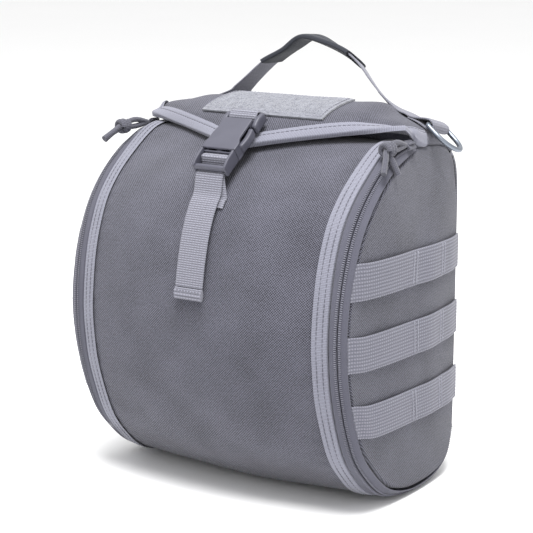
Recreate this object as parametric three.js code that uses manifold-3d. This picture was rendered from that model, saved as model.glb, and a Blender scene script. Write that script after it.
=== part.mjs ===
// Tactical helmet bag, closed and standing: a D-shaped soft bag whose front unzips on both sides.
// Millimetres, Z up, front towards -Y, the base flattened on z = 0.
import * as THREE from 'three';
import Module from 'manifold-3d';

// Driving sizes
const wall = 2.5;
const gap = 0.4;
const tape = 1.1;
const trimGap = 0.7;
const edgeX = 105.4;
const bindingWidth = 10.8;
const seamGap = { zip: 1.9, back: 0.3 };
const backY = 97.8;
const flapThick = 2.2;
const flapBinding = 8.6;
const webWidth = 25;
const strapWidth = 23;
const webThick = 1.5;
const rowFirst = 56.4;
const rowPitch = 50;
const rowCount = 3;
const rowTilt = 3;
const patchHalf = 52;
const patchThick = 2;
const cordRadius = 2;

// Shape of the front from under the flap round to the foot of the back.
// edge is the outer edge of the binding, seam is where the zip band meets the side, crown is the bulge.
const profile = [
  { edgeY: 18, edgeZ: 257, seamX: 112, seamY: 24, seamZ: 250.5, crown: 0.5 },
  { edgeY: 4, edgeZ: 257, seamX: 114.5, seamY: 6, seamZ: 247, crown: 1.5 },
  { edgeY: -11, edgeZ: 253, seamX: 116.5, seamY: -10, seamZ: 243, crown: 3 },
  { edgeY: -31, edgeZ: 240, seamX: 118.5, seamY: -28, seamZ: 235, crown: 7 },
  { edgeY: -53, edgeZ: 222, seamX: 119, seamY: -48, seamZ: 218, crown: 11 },
  { edgeY: -69, edgeZ: 199, seamX: 119, seamY: -63.5, seamZ: 196, crown: 12 },
  { edgeY: -79, edgeZ: 167, seamX: 119, seamY: -75, seamZ: 165, crown: 12 },
  { edgeY: -83, edgeZ: 131, seamX: 119, seamY: -79.5, seamZ: 131, crown: 12 },
  { edgeY: -79, edgeZ: 92, seamX: 119, seamY: -75, seamZ: 94, crown: 11 },
  { edgeY: -65, edgeZ: 51, seamX: 119, seamY: -60.5, seamZ: 54, crown: 8 },
  { edgeY: -46, edgeZ: 25, seamX: 119, seamY: -41, seamZ: 30, crown: 5.5 },
  { edgeY: -22, edgeZ: 7.5, seamX: 119, seamY: -18, seamZ: 12.5, crown: 4 },
  { edgeY: 8, edgeZ: 1.5, seamX: 119, seamY: 9, seamZ: 4.5, crown: 3.5 },
  { edgeY: 38, edgeZ: 1.3, seamX: 118.5, seamY: 36, seamZ: 4, crown: 3.5 },
  { edgeY: 63, edgeZ: 3.5, seamX: 117.5, seamY: 58, seamZ: 8.5, crown: 3 },
  { edgeY: 80, edgeZ: 11, seamX: 116, seamY: 73, seamZ: 18, crown: 1 },
  { edgeY: 91, edgeZ: 28.6, seamX: 114.5, seamY: 81.5, seamZ: 36, crown: 0.2 },
];

// Side seam from the foot of the back, up the back and along the roof to the top of the zip.
const sideBack = [
  { seamX: 114.5, seamY: 81.5, seamZ: 36 },
  { seamX: 113, seamY: 85, seamZ: 64 },
  { seamX: 112, seamY: 85.5, seamZ: 110 },
  { seamX: 112, seamY: 85.5, seamZ: 160 },
  { seamX: 112, seamY: 84.5, seamZ: 206 },
  { seamX: 111.5, seamY: 79, seamZ: 235.5 },
  { seamX: 111, seamY: 66, seamZ: 246.6 },
  { seamX: 111, seamY: 45, seamZ: 250 },
  { seamX: 112, seamY: 24, seamZ: 250.5 },
];
const sideCentre = { x: 122.5, y: 8, z: 128 };

// Roof and flap from the back seam over the ridge to the pointed front edge.
// ridge is how far the cloth stands up on the right, where the handle lifts it; the left has half of it.
const roof = [
  { midY: 93.5, midZ: 252, sideX: 108.5, sideY: 84, rightZ: 243, leftZ: 243, round: 2.1, sweep: 3, ridge: 0 },
  { midY: 74, midZ: 269, sideX: 111, sideY: 67, rightZ: 249.5, leftZ: 249.5, round: 2.1, sweep: 3, ridge: 1.2 },
  { midY: 44, midZ: 278.2, sideX: 111, sideY: 38, rightZ: 253, leftZ: 253, round: 2.5, sweep: 3, ridge: 4 },
  { midY: 14, midZ: 276, sideX: 111, sideY: 26, rightZ: 257, leftZ: 264, round: 2.9, sweep: 3, ridge: 2.6 },
  { midY: -11, midZ: 270.5, sideX: 110, sideY: 18, rightZ: 262.5, leftZ: 264, round: 1.8, sweep: 2.2, ridge: 0.8 },
  { midY: -39, midZ: 251.5, sideX: 109.5, sideY: 10, rightZ: 267.5, leftZ: 263, round: 0.87, sweep: 1, ridge: 0 },
];
const flapFree = 0.4;
const patchBack = 0.4;
const patchFront = 0.8;

// Buckle: its top end, how far it leans below level, and lengths along it.
const buckleTop = { y: -23, z: 273 };
const buckleLean = THREE.MathUtils.degToRad(36);
const buckle = { half: 14.2, high: 11, mouth: 41.5, end: 58, skin: 2, arm: 3.2 };
const upperBar = { at: 4, radius: 1.5 };
const middleBar = { from: 46.1, to: 48.4, half: 1.4 };
const endBar = { from: 53.6, to: 58, low: -1.6, top: 3.2 };

// Carry handle: arch leaning back from the roof, x across, rise along the lean, twist with the front edge up.
const handleY = 60;
const handleZ = 275.5;
const handleLean = THREE.MathUtils.degToRad(26);
const handleArch = [
  { x: -66, rise: 1, twist: 12 },
  { x: -56, rise: 14, twist: 4 },
  { x: -44, rise: 28, twist: 2 },
  { x: -28.7, rise: 39.4, twist: -3 },
  { x: -14.5, rise: 49.3, twist: 4 },
  { x: 8.9, rise: 42.8, twist: 18 },
  { x: 28.5, rise: 34.4, twist: 27 },
  { x: 42.2, rise: 23.5, twist: 36 },
  { x: 52.5, rise: 13.9, twist: 37 },
  { x: 66, rise: 3.1, twist: 32 },
];
const archSteps = 22;
const grip = { from: 5, to: 15, width: 30, thick: 4.6, skin: 1 };

// Shoulder ring: its bar and wire, how steeply it lies, and the slope of the webbing loop that holds it.
const ring = { x: 108, y: 60, z: 262.3, wire: 1.8, half: 15, deep: 24 };
const ringSlope = THREE.MathUtils.degToRad(39);
const loopSlope = THREE.MathUtils.degToRad(24);
const barTilt = THREE.MathUtils.degToRad(14);
const loopReach = 3.6;

// Zip pulls: the slider near the top of the zip, and the way the cord runs from it on each side.
const slider = { at: 0.035, long: 10, wide: 8, high: 2.4, off: 2.7 };
const pullRight = {
  eye: { x: 112.5, y: 6.5, z: 256 },
  knot: { x: 112.5, y: -18, z: 255.5 },
  tails: [{ x: 119.5, y: -34.5, z: 241.5 }, { x: 121.5, y: -18, z: 239 }],
};
const pullLeft = {
  eye: { x: -112.5, y: 5.5, z: 255.8 },
  knot: { x: -113, y: -24, z: 256 },
  tails: [{ x: -113.5, y: -46, z: 249 }, { x: -117, y: -41, z: 247 }],
};

// Colours
const colours = {
  cloth: '#6f707b',
  zip: '#62626c',
  binding: '#a8a8b4',
  web: '#a0a0ac',
  patch: '#bfc3cd',
  plastic: '#83838f',
  metal: '#8f96a1',
  cord: '#838292',
  grip: '#5a5c68',
};

// Shared tools: curves through table rows, and closed solids from points
const vec = (x, y, z) => new THREE.Vector3(x, y, z);
const clamp = (value, low, high) => Math.min(Math.max(value, low), high);

function along(rows, column, u) {
  const at = clamp(u, 0, 1) * (rows.length - 1);
  const k = Math.min(Math.floor(at), rows.length - 2);
  const f = at - k;
  const pick = (i) => rows[clamp(i, 0, rows.length - 1)][column];
  const [a, b, c, d] = [pick(k - 1), pick(k), pick(k + 1), pick(k + 2)];
  const second = 2 * a - 5 * b + 4 * c - d;
  const third = 3 * b - a - 3 * c + d;
  return 0.5 * (2 * b + (c - a) * f + second * f * f + third * f * f * f);
}

function solid(points, triangles) {
  let volume = 0;
  for (const [a, b, c] of triangles) {
    volume += points[a].dot(points[b].clone().cross(points[c]));
  }
  const index = [];
  for (const [a, b, c] of triangles) {
    index.push(...(volume > 0 ? [a, b, c] : [a, c, b]));
  }
  const geometry = new THREE.BufferGeometry();
  const flat = points.flatMap((p) => [p.x, p.y, p.z]);
  geometry.setAttribute('position', new THREE.Float32BufferAttribute(flat, 3));
  geometry.setIndex(index);
  return geometry;
}

const mirrorX = (p) => vec(-p.x, p.y, p.z);

// A sheet with thickness: two layers of a grid joined round the border.
function sheet(pointAt, down, across) {
  const points = [];
  const triangles = [];
  const at = (layer, i, j) => (layer * (down + 1) + i) * (across + 1) + j;
  for (const layer of [0, 1]) {
    for (let i = 0; i <= down; i++) {
      for (let j = 0; j <= across; j++) points.push(pointAt(i / down, j / across, layer));
    }
  }
  const quad = (a, b, c, d) => triangles.push([a, b, c], [a, c, d]);
  for (let i = 0; i < down; i++) {
    for (let j = 0; j < across; j++) {
      quad(at(0, i, j), at(0, i + 1, j), at(0, i + 1, j + 1), at(0, i, j + 1));
      quad(at(1, i, j), at(1, i, j + 1), at(1, i + 1, j + 1), at(1, i + 1, j));
    }
  }
  for (let i = 0; i < down; i++) {
    quad(at(0, i, 0), at(1, i, 0), at(1, i + 1, 0), at(0, i + 1, 0));
    quad(at(0, i, across), at(0, i + 1, across), at(1, i + 1, across), at(1, i, across));
  }
  for (let j = 0; j < across; j++) {
    quad(at(0, 0, j), at(0, 0, j + 1), at(1, 0, j + 1), at(1, 0, j));
    quad(at(0, down, j), at(1, down, j), at(1, down, j + 1), at(0, down, j + 1));
  }
  return solid(points, triangles);
}

// A run of the same closed section, capped at both ends.
function sweep(sections, closed = false) {
  const count = sections[0].length;
  const points = sections.flat();
  const triangles = [];
  const runs = closed ? sections.length : sections.length - 1;
  for (let i = 0; i < runs; i++) {
    const next = (i + 1) % sections.length;
    for (let j = 0; j < count; j++) {
      const k = (j + 1) % count;
      triangles.push([i * count + j, next * count + j, next * count + k]);
      triangles.push([i * count + j, next * count + k, i * count + k]);
    }
  }
  if (!closed) {
    const last = (sections.length - 1) * count;
    triangles.push(...capFaces(sections[0]));
    const far = capFaces(sections[sections.length - 1]);
    triangles.push(...far.map(([a, b, c]) => [last + a, last + c, last + b]));
  }
  return solid(points, triangles);
}

function capFaces(section) {
  const normal = vec(0, 0, 0);
  section.forEach((p, i) => normal.add(p.clone().cross(section[(i + 1) % section.length])));
  normal.normalize();
  const u = section[1].clone().sub(section[0]).cross(normal).normalize();
  const v = normal.clone().cross(u);
  const flat = section.map((p) => new THREE.Vector2(p.dot(u), p.dot(v)));
  return THREE.ShapeUtils.triangulateShape(flat, []).map(([a, b, c]) => {
    const turn = THREE.ShapeUtils.area([flat[a], flat[b], flat[c]]);
    return turn > 0 ? [a, b, c] : [a, c, b];
  });
}

// A shallow dome: rings shrinking from a rim to a pole, in two layers.
function dome(rim, fractions, pointAt) {
  const points = [];
  const triangles = [];
  const count = rim.length;
  const rings = fractions.length;
  const at = (layer, i, j) => layer * (rings * count + 1) + i * count + (j % count);
  for (const layer of [0, 1]) {
    for (const f of fractions) rim.forEach((_, j) => points.push(pointAt(j, f, layer)));
    points.push(pointAt(0, 0, layer));
  }
  for (const layer of [0, 1]) {
    const face = (a, b, c) => triangles.push(layer ? [a, c, b] : [a, b, c]);
    for (let j = 0; j < count; j++) {
      for (let i = 0; i + 1 < rings; i++) {
        face(at(layer, i, j), at(layer, i, j + 1), at(layer, i + 1, j + 1));
        face(at(layer, i, j), at(layer, i + 1, j + 1), at(layer, i + 1, j));
      }
      face(at(layer, rings - 1, j), at(layer, rings - 1, j + 1), at(layer, rings, 0));
    }
  }
  for (let j = 0; j < count; j++) {
    triangles.push([at(0, 0, j), at(1, 0, j), at(1, 0, j + 1)]);
    triangles.push([at(0, 0, j), at(1, 0, j + 1), at(0, 0, j + 1)]);
  }
  return solid(points, triangles);
}

// Webbing: stations with a place and the direction of the width.
function ribbon(stations, width, thick) {
  const sections = stations.map(({ place, side }, i) => {
    const before = stations[Math.max(i - 1, 0)].place;
    const after = stations[Math.min(i + 1, stations.length - 1)].place;
    const up = side.clone().cross(after.clone().sub(before)).normalize().multiplyScalar(thick / 2);
    const half = side.clone().multiplyScalar(width / 2);
    return [
      place.clone().add(half).add(up),
      place.clone().sub(half).add(up),
      place.clone().sub(half).sub(up),
      place.clone().add(half).sub(up),
    ];
  });
  return sweep(sections);
}

const wasm = await Module();
wasm.setup();

function toManifold(geometry) {
  const position = geometry.getAttribute('position');
  const numbers = new Map();
  const places = [];
  const renumber = [];
  for (let i = 0; i < position.count; i++) {
    const place = [position.getX(i), position.getY(i), position.getZ(i)];
    const key = place.map((v) => v.toFixed(4)).join();
    if (!numbers.has(key)) {
      numbers.set(key, places.length);
      places.push(place);
    }
    renumber.push(numbers.get(key));
  }
  const index = geometry.getIndex();
  const order = index ? Array.from(index.array) : renumber.map((_, i) => i);
  const triVerts = Uint32Array.from(order.map((i) => renumber[i]));
  const vertProperties = Float32Array.from(places.flat());
  return new wasm.Manifold(new wasm.Mesh({ numProp: 3, vertProperties, triVerts }));
}

function fromManifold(shape) {
  const mesh = shape.getMesh();
  const points = [];
  for (let i = 0; i < mesh.numVert; i++) {
    points.push(vec(...mesh.vertProperties.slice(i * mesh.numProp, i * mesh.numProp + 3)));
  }
  const triangles = [];
  for (let i = 0; i < mesh.numTri; i++) triangles.push([...mesh.triVerts.slice(3 * i, 3 * i + 3)]);
  return solid(points, triangles);
}

const joined = (first, ...others) => others.reduce((sum, one) => sum.add(one), first);

// Front panel, with its binding and the zip bands beside it
function edgeAt(u) {
  const point = vec(0, along(profile, 'edgeY', u), along(profile, 'edgeZ', u));
  const step = 0.002;
  const y = along(profile, 'edgeY', u + step) - along(profile, 'edgeY', u - step);
  const z = along(profile, 'edgeZ', u + step) - along(profile, 'edgeZ', u - step);
  const outward = vec(0, z, -y).normalize();
  return { point, outward };
}

function panelPoint(u, x, off) {
  const { point, outward } = edgeAt(u);
  const low = tape + gap;
  const share = 1 - (x / edgeX) ** 2;
  const lift = (along(profile, 'crown', u) + low) * share - low + off;
  const place = point.addScaledVector(outward, lift);
  return vec(x, place.y, Math.max(place.z, -off));
}

const panelHalf = edgeX - tape - gap;
const frontPanel = sheet((u, v, layer) => panelPoint(u, panelHalf * (2 * v - 1), -wall * layer), 32, 8);

function bindingSection(u) {
  const inner = edgeX - bindingWidth;
  const middle = edgeX - bindingWidth / 2;
  const low = panelPoint(u, panelHalf, -wall - gap);
  const { outward } = edgeAt(u);
  const outside = (x, from, lift) => vec(x, 0, 0).add(panelPoint(u, from, lift).setX(0));
  const section = [
    outside(inner, inner, gap),
    outside(inner, inner, gap + tape),
    outside(middle, middle, gap + tape),
    outside(edgeX - 0.6, panelHalf, gap + tape),
    outside(edgeX, panelHalf, gap + 0.4),
    vec(edgeX, low.y, low.z).addScaledVector(outward, -0.4),
    vec(edgeX - tape, low.y, low.z).addScaledVector(outward, -0.4),
    outside(edgeX - tape, panelHalf, gap),
    outside(middle, middle, gap),
  ];
  return section.map((p) => vec(p.x, p.y, Math.max(p.z, 0.1)));
}

const stops = (count) => Array.from({ length: count + 1 }, (_, i) => i / count);
const bindingRight = stops(32).map(bindingSection);
const binding = { right: sweep(bindingRight), left: sweep(bindingRight.map((s) => s.map(mirrorX))) };

// The zip band lies between the binding and the side seam, the closed chain standing up in its middle.
const bandSteps = [
  { share: 0, lift: 0 },
  { share: 0.3, lift: 0.9 },
  { share: 0.34, lift: 2.2 },
  { share: 0.66, lift: 2.2 },
  { share: 0.7, lift: 0.9 },
  { share: 1, lift: 0 },
  { share: 1, lift: -1.4 },
  { share: 0.5, lift: -0.6 },
  { share: 0.06, lift: -1.2 },
];

function bandFrame(u) {
  const { point, outward } = edgeAt(u);
  const from = point.clone().addScaledVector(outward, -1.2).setX(edgeX + gap + 0.5);
  const to = vec(along(profile, 'seamX', u), along(profile, 'seamY', u), along(profile, 'seamZ', u));
  const run = vec(0, -outward.z, outward.y);
  const normal = run.clone().cross(to.clone().sub(from)).normalize();
  if (normal.dot(outward) < 0) normal.negate();
  return { from, to, run, normal };
}

const bandRight = stops(32).map((u) => {
  const { from, to, normal } = bandFrame(u);
  return bandSteps.map(({ share, lift }) => from.clone().lerp(to, share).addScaledVector(normal, lift));
});
const zip = { right: sweep(bandRight), left: sweep(bandRight.map((s) => s.map(mirrorX))) };

// Side panels and the webbing rows sewn on them
function rimPoint(rows, u, inset) {
  const y = along(rows, 'seamY', u) - sideCentre.y;
  const z = along(rows, 'seamZ', u) - sideCentre.z;
  const share = 1 - inset / Math.hypot(y, z);
  return { x: along(rows, 'seamX', u), y: y * share, z: z * share };
}

const seamRim = [
  ...stops(32).map((u) => rimPoint(profile, u, seamGap.zip)),
  ...stops(12).slice(1, -1).map((u) => rimPoint(sideBack, u, seamGap.back)),
];
const bulged = (rimX, f) => rimX + (sideCentre.x - rimX) * (1 - f * f);

function sidePoint(j, f, layer) {
  const { x, y, z } = seamRim[j];
  return vec(bulged(x, f) - wall * layer, sideCentre.y + y * f, sideCentre.z + z * f);
}

const sideRings = [1, 0.85, 0.6, 0.3];
const side = {
  right: dome(seamRim, sideRings, sidePoint),
  left: dome(seamRim, sideRings, (j, f, layer) => mirrorX(sidePoint(j, f, layer))),
};

// Where a point of the side lies: its share of the way from the centre to the seam, and the surface there.
function onSide(py, pz) {
  const [y, z] = [py - sideCentre.y, pz - sideCentre.z];
  for (let j = 0; j < seamRim.length; j++) {
    const a = seamRim[j];
    const b = seamRim[(j + 1) % seamRim.length];
    const area = a.y * b.z - a.z * b.y;
    const first = (y * b.z - z * b.y) / area;
    const second = (a.y * z - a.z * y) / area;
    const share = first + second;
    if (first >= 0 && second >= 0 && share > 0) {
      return { share, x: bulged((a.x * first + b.x * second) / share, Math.min(share, 1)) };
    }
  }
  return { share: 0, x: sideCentre.x };
}

function seamCrossing(z, way) {
  let reach = 0;
  while (onSide(sideCentre.y + way * reach, z).share < 0.985) reach += 0.5;
  return sideCentre.y + way * reach;
}

function webRow(index, mirror) {
  const low = rowFirst + index * rowPitch;
  const lift = gap + 0.1;
  const pointAt = (u, v, layer) => {
    const front = low + webWidth * v + rowTilt;
    const z = front - rowTilt * u;
    const y = THREE.MathUtils.lerp(seamCrossing(front, -1), seamCrossing(front - rowTilt, 1), u);
    const p = vec(onSide(y, z).x + lift + (layer ? 0 : webThick), y, z);
    return mirror ? mirrorX(p) : p;
  };
  return sheet(pointAt, 12, 1);
}

// Back panel: flat, its border rolled forward to meet the sides, the roof and the bottom
const backRim = Array.from({ length: 40 }, (_, j) => (j / 40) * 2 * Math.PI);
const backHalf = { x: 111, z: 109.5 };
const backMidZ = 139.5;
const backSquare = 2 / 10;

function backPoint(j, f, layer) {
  const [c, s] = [Math.cos(backRim[j]), Math.sin(backRim[j])];
  const x = backHalf.x * Math.sign(c) * Math.abs(c) ** backSquare * f;
  const z = backMidZ + backHalf.z * Math.sign(s) * Math.abs(s) ** backSquare * f;
  const rimDepth = 5 + 4.4 * Math.abs(c) ** 2;
  const roll = clamp((f - 0.88) / 0.12, 0, 1) ** 2;
  return vec(x, backY - rimDepth * roll - wall * layer, z);
}

const backPanel = dome(backRim, [1, 0.95, 0.88], backPoint);

// Roof and flap, one cloth from the back seam to the bound front edge
function roofRow({ midY, midZ, sideX, sideY, rightZ, leftZ, round, sweep, ridge }, u) {
  const s = Math.min(Math.abs(u), 1);
  const sideZ = u > 0 ? rightZ : leftZ;
  const drop = 1 - (1 - s ** round) ** (1 / round);
  const climb = clamp((s - 0.15) / 0.5, 0, 1) ** 1.5;
  const fall = THREE.MathUtils.smoothstep(s, 0.65, 0.78);
  const stand = (u > 0 ? ridge : ridge / 2) * climb * (1 - fall);
  const z = midZ + (sideZ - midZ) * drop + stand;
  return vec(u * sideX, midY + (sideY - midY) * s ** sweep, z);
}

function roofPoint(u, v) {
  const line = roof.map((row) => roofRow(row, u));
  return vec(along(line, 'x', v), along(line, 'y', v), along(line, 'z', v));
}

function roofNormal(u, v) {
  const inU = clamp(u, -0.985, 0.985);
  const inV = clamp(v, 0.01, 0.99);
  const across = roofPoint(inU + 0.01, inV).sub(roofPoint(inU - 0.01, inV));
  const down = roofPoint(inU, inV + 0.01).sub(roofPoint(inU, inV - 0.01));
  return down.cross(across).normalize();
}

const roofOver = (u, v, lift) => roofPoint(u, v).addScaledVector(roofNormal(u, v), lift);
const flapRows = 15;
const flapColumns = stops(20).map((t) => Math.sign(t - 0.5) * (1 - (1 - Math.abs(2 * t - 1)) ** 1.5));
const topFlap = sheet(
  (v, t, layer) => roofOver(flapColumns[Math.round(t * 20)], v, -flapThick * layer), flapRows, 20);

// The flap's binding folds over its free edge: up one side, along the front and down the other side.
const freeRows = stops(flapRows).filter((v) => v >= flapFree && v < 1);
const flapEdge = [
  ...freeRows.map((v) => ({ u: -1, v })),
  ...flapColumns.map((u) => ({ u, v: 1 })),
  ...freeRows.map((v) => ({ u: 1, v })).reverse(),
];

function insetV(u) {
  let v = 1;
  while (roofPoint(u, v).distanceTo(roofPoint(u, 1)) < flapBinding) v -= 0.005;
  return v;
}

function insetU(v) {
  let u = 1;
  while (roofPoint(u, v).distanceTo(roofPoint(1, v)) < flapBinding) u -= 0.003;
  return u;
}

const corner = { u: insetU(1), v: insetV(1) };

function flapBindingSection({ u, v }) {
  const front = v === 1;
  const inU = front ? clamp(u, -corner.u, corner.u) : Math.sign(u) * insetU(Math.min(v, corner.v));
  const inV = front ? insetV(inU) : Math.min(v, corner.v);
  const out = roofPoint(u, v).sub(roofPoint(inU, inV)).normalize();
  const rim = (lift, reach) => roofOver(u, v, lift).addScaledVector(out, reach);
  return [
    roofOver(inU, inV, trimGap),
    roofOver(inU, inV, trimGap + tape),
    roofOver((u + inU) / 2, (v + inV) / 2, trimGap + tape + 0.5),
    rim(trimGap + tape, 0.8),
    rim(0, trimGap + tape),
    rim(-flapThick - 0.3, trimGap + tape),
    rim(-flapThick - 0.3, trimGap),
    rim(trimGap, trimGap),
    roofOver((u + inU) / 2, (v + inV) / 2, trimGap + 0.5),
  ];
}

const flapTrim = sweep(flapEdge.map(flapBindingSection));

const loopPatch = sheet((s, t, layer) => {
  const v = patchBack + (patchFront - patchBack) * s;
  const u = (patchHalf * (2 * t - 1)) / along(roof, 'sideX', v);
  return roofOver(u, v, gap + (layer ? 0 : patchThick));
}, 6, 6);

// Side-release buckle, in its own axes: x across, run along it from the top, rise off its back
const buckleRun = vec(0, -Math.cos(buckleLean), -Math.sin(buckleLean));
const buckleRise = vec(0, -Math.sin(buckleLean), Math.cos(buckleLean));
const onBuckle = (x, run, rise) => vec(x, buckleTop.y, buckleTop.z)
  .addScaledVector(buckleRun, run).addScaledVector(buckleRise, rise);

function block(x0, x1, run0, run1, low, top) {
  const box = new THREE.BoxGeometry(x1 - x0, run1 - run0, top - low);
  box.translate((x0 + x1) / 2, (run0 + run1) / 2, (low + top) / 2);
  return toManifold(box);
}

function rounded(points, low, top, bevel) {
  const shape = new THREE.Shape(points.map(([x, run]) => new THREE.Vector2(x, run)));
  const made = new THREE.ExtrudeGeometry(shape, {
    depth: top - low - 2 * bevel, bevelEnabled: true, bevelThickness: bevel, bevelSize: bevel,
    bevelOffset: -bevel, bevelSegments: 1, steps: 1,
  });
  made.translate(0, 0, low + bevel);
  return toManifold(made);
}

function placeOnBuckle(shape) {
  const geometry = fromManifold(shape);
  const position = geometry.getAttribute('position');
  for (let i = 0; i < position.count; i++) {
    const p = onBuckle(position.getX(i), position.getY(i), position.getZ(i));
    position.setXYZ(i, p.x, p.y, p.z);
  }
  return solid(geometryPoints(geometry), geometryFaces(geometry));
}

function geometryPoints(geometry) {
  const position = geometry.getAttribute('position');
  const at = (i) => vec(position.getX(i), position.getY(i), position.getZ(i));
  return Array.from({ length: position.count }, (_, i) => at(i));
}

function geometryFaces(geometry) {
  const order = Array.from(geometry.getIndex().array);
  return Array.from({ length: order.length / 3 }, (_, i) => order.slice(3 * i, 3 * i + 3));
}

const { half, high, mouth, end, skin, arm } = buckle;
const femaleOutline = [
  [-half + 1, 0], [half - 1, 0], [half, 11], [half - 1, 15], [half - 1, 34], [half, 37], [half, mouth],
  [-half, mouth], [-half, 37], [-half + 1, 34], [-half + 1, 15], [-half, 11],
];
const femaleBody = rounded(femaleOutline, -high / 2, high / 2, 0.8);
const slotHalf = strapWidth / 2 + 0.6;
const slotEnd = 10;
const strapSlot = block(-slotHalf, slotHalf, upperBar.at + upperBar.radius, slotEnd, -high, high);
const strapMouth = block(-slotHalf, slotHalf, -1, upperBar.at - upperBar.radius, -high, high);
const aboveBar = block(-slotHalf, slotHalf, -1, slotEnd, upperBar.radius, high);
const belowBar = block(-slotHalf, slotHalf, -1, slotEnd, -high, -upperBar.radius);
const cavity = block(-half + skin, half - skin, 15, mouth + 1, -high / 2 + skin, high / 2 - skin);
const windows = block(-half - 1, half + 1, 16, 33.5, -high / 2 + skin, high / 2 - skin);
const femaleCuts = joined(strapSlot, strapMouth, aboveBar, belowBar, cavity, windows);
const female = placeOnBuckle(femaleBody.subtract(femaleCuts));

const clear = 0.35;
const inside = high / 2 - skin - clear;
const armOut = half - skin - clear;
const maleOutline = [[-half, mouth + clear], [half, mouth + clear], [half - 0.6, end], [-half + 0.6, end]];
const maleWindow = block(-slotHalf, slotHalf, mouth + 1.7, endBar.from, -high, high);
const maleBody = rounded(maleOutline, -high / 2, high / 2, 0.8).subtract(maleWindow)
  .subtract(block(-slotHalf, slotHalf, endBar.from - 1, end + 1, -high, endBar.low))
  .subtract(block(-slotHalf, slotHalf, endBar.from - 1, end + 1, endBar.top, high));
const male = placeOnBuckle(joined(
  maleBody,
  block(-slotHalf - 1, slotHalf + 1, middleBar.from, middleBar.to, -middleBar.half, middleBar.half),
  block(-armOut, -armOut + arm, 16.5, mouth + 1, -inside, inside),
  block(armOut - arm, armOut, 16.5, mouth + 1, -inside, inside),
  block(-2.2, 2.2, 21, mouth + 1, -inside, inside),
));

// Straps of the buckle
const acrossX = vec(1, 0, 0);
const strapStation = (y, z) => ({ place: vec(0, y, z), side: acrossX });
const buckleStation = (run, rise) => ({ place: onBuckle(0, run, rise), side: acrossX });
const wrap = upperBar.radius * Math.SQRT2 + 0.35 + webThick / 2;
const patchFoot = roofOver(0, patchFront + 0.02, gap + webThick / 2);
const patchTop = roofOver(0, patchFront + 0.016, gap + webThick * 1.5 + 0.4);
const upperStrap = ribbon([
  strapStation(patchFoot.y, patchFoot.z),
  strapStation(patchFoot.y - 5, patchFoot.z - 1.2),
  buckleStation(upperBar.at - 1, -wrap),
  ...stops(6).map((t) => buckleStation(
    upperBar.at + wrap * Math.sin(Math.PI * t), -wrap * Math.cos(Math.PI * t))),
  buckleStation(upperBar.at - 3, wrap + 0.2),
  strapStation(patchTop.y - 3, patchTop.z + 0.9),
  strapStation(patchTop.y, patchTop.z),
], strapWidth, webThick);

function frontOver(u, lift) {
  const p = panelPoint(u, 0, lift);
  return strapStation(p.y, p.z);
}

const sewnFrom = 0.293;
const sewnTo = 0.276;
const tailFrom = 0.276;
const tailTo = 0.3925;
const strapLayer = webThick + 0.4;
const underEnd = endBar.low - 0.35 - webThick / 2;
const overBar = middleBar.half + 0.35 + webThick / 2;
const lowerStrap = ribbon([
  ...stops(3).map((t) => frontOver(sewnFrom + (sewnTo - sewnFrom) * t, gap + webThick / 2)),
  buckleStation(endBar.to + 1, underEnd - strapLayer),
  buckleStation(endBar.from, underEnd - strapLayer),
  buckleStation(middleBar.to, -overBar - 0.6),
  ...stops(4).map((t) => buckleStation(
    middleBar.from - overBar * Math.sin(Math.PI * t) + 0.6, -overBar * Math.cos(Math.PI * t))),
  buckleStation(middleBar.to, overBar),
  buckleStation(middleBar.to + 2.6, 0),
  buckleStation(endBar.from - 0.8, underEnd),
  buckleStation(endBar.to - 1, underEnd),
  buckleStation(endBar.to + 3, underEnd - 0.9),
  ...stops(8).map((t) => frontOver(tailFrom + (tailTo - tailFrom) * t, gap + webThick * 1.5 + 1.2 * (1 - t))),
], strapWidth, webThick);
const hemHalf = 0.0068;
const hemAt = tailTo + hemHalf + 0.0007;
const tailHem = sweep(stops(1).map((t) => stops(7).map((k) => {
  const angle = (k * 7 * Math.PI) / 4;
  const p = panelPoint(hemAt + hemHalf * Math.cos(angle), 0, 2.6 + 1.7 * Math.sin(angle));
  return p.setX((t - 0.5) * strapWidth);
})));

// Carry handle: one webbing from loop to loop, and the cloth grip round its middle
const leanUp = vec(0, Math.sin(handleLean), Math.cos(handleLean));
const sideTilted = (angle) => vec(0, Math.cos(angle), -Math.sin(angle));
const archSide = (t) => sideTilted(THREE.MathUtils.degToRad(along(handleArch, 'twist', t)));
const archPlace = (t) => vec(along(handleArch, 'x', t), handleY, handleZ)
  .addScaledVector(leanUp, along(handleArch, 'rise', t));
const tiltSide = sideTilted(barTilt);
const barPlace = vec(ring.x, ring.y, ring.z);
const loopRise = ring.wire + 0.5 + webThick / 2;
const squareToBar = (slope) => vec(Math.cos(slope), 0, -Math.sin(slope)).projectOnPlane(tiltSide).normalize();
const loopOut = squareToBar(loopSlope);
const loopUp = loopOut.clone().cross(tiltSide);
const byLoop = (out, up) => barPlace.clone().addScaledVector(loopOut, out).addScaledVector(loopUp, up);
const strapRow = 0.28;
const underLift = gap + webThick / 2 + 0.2;
const overLift = underLift + webThick + 0.3;

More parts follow.
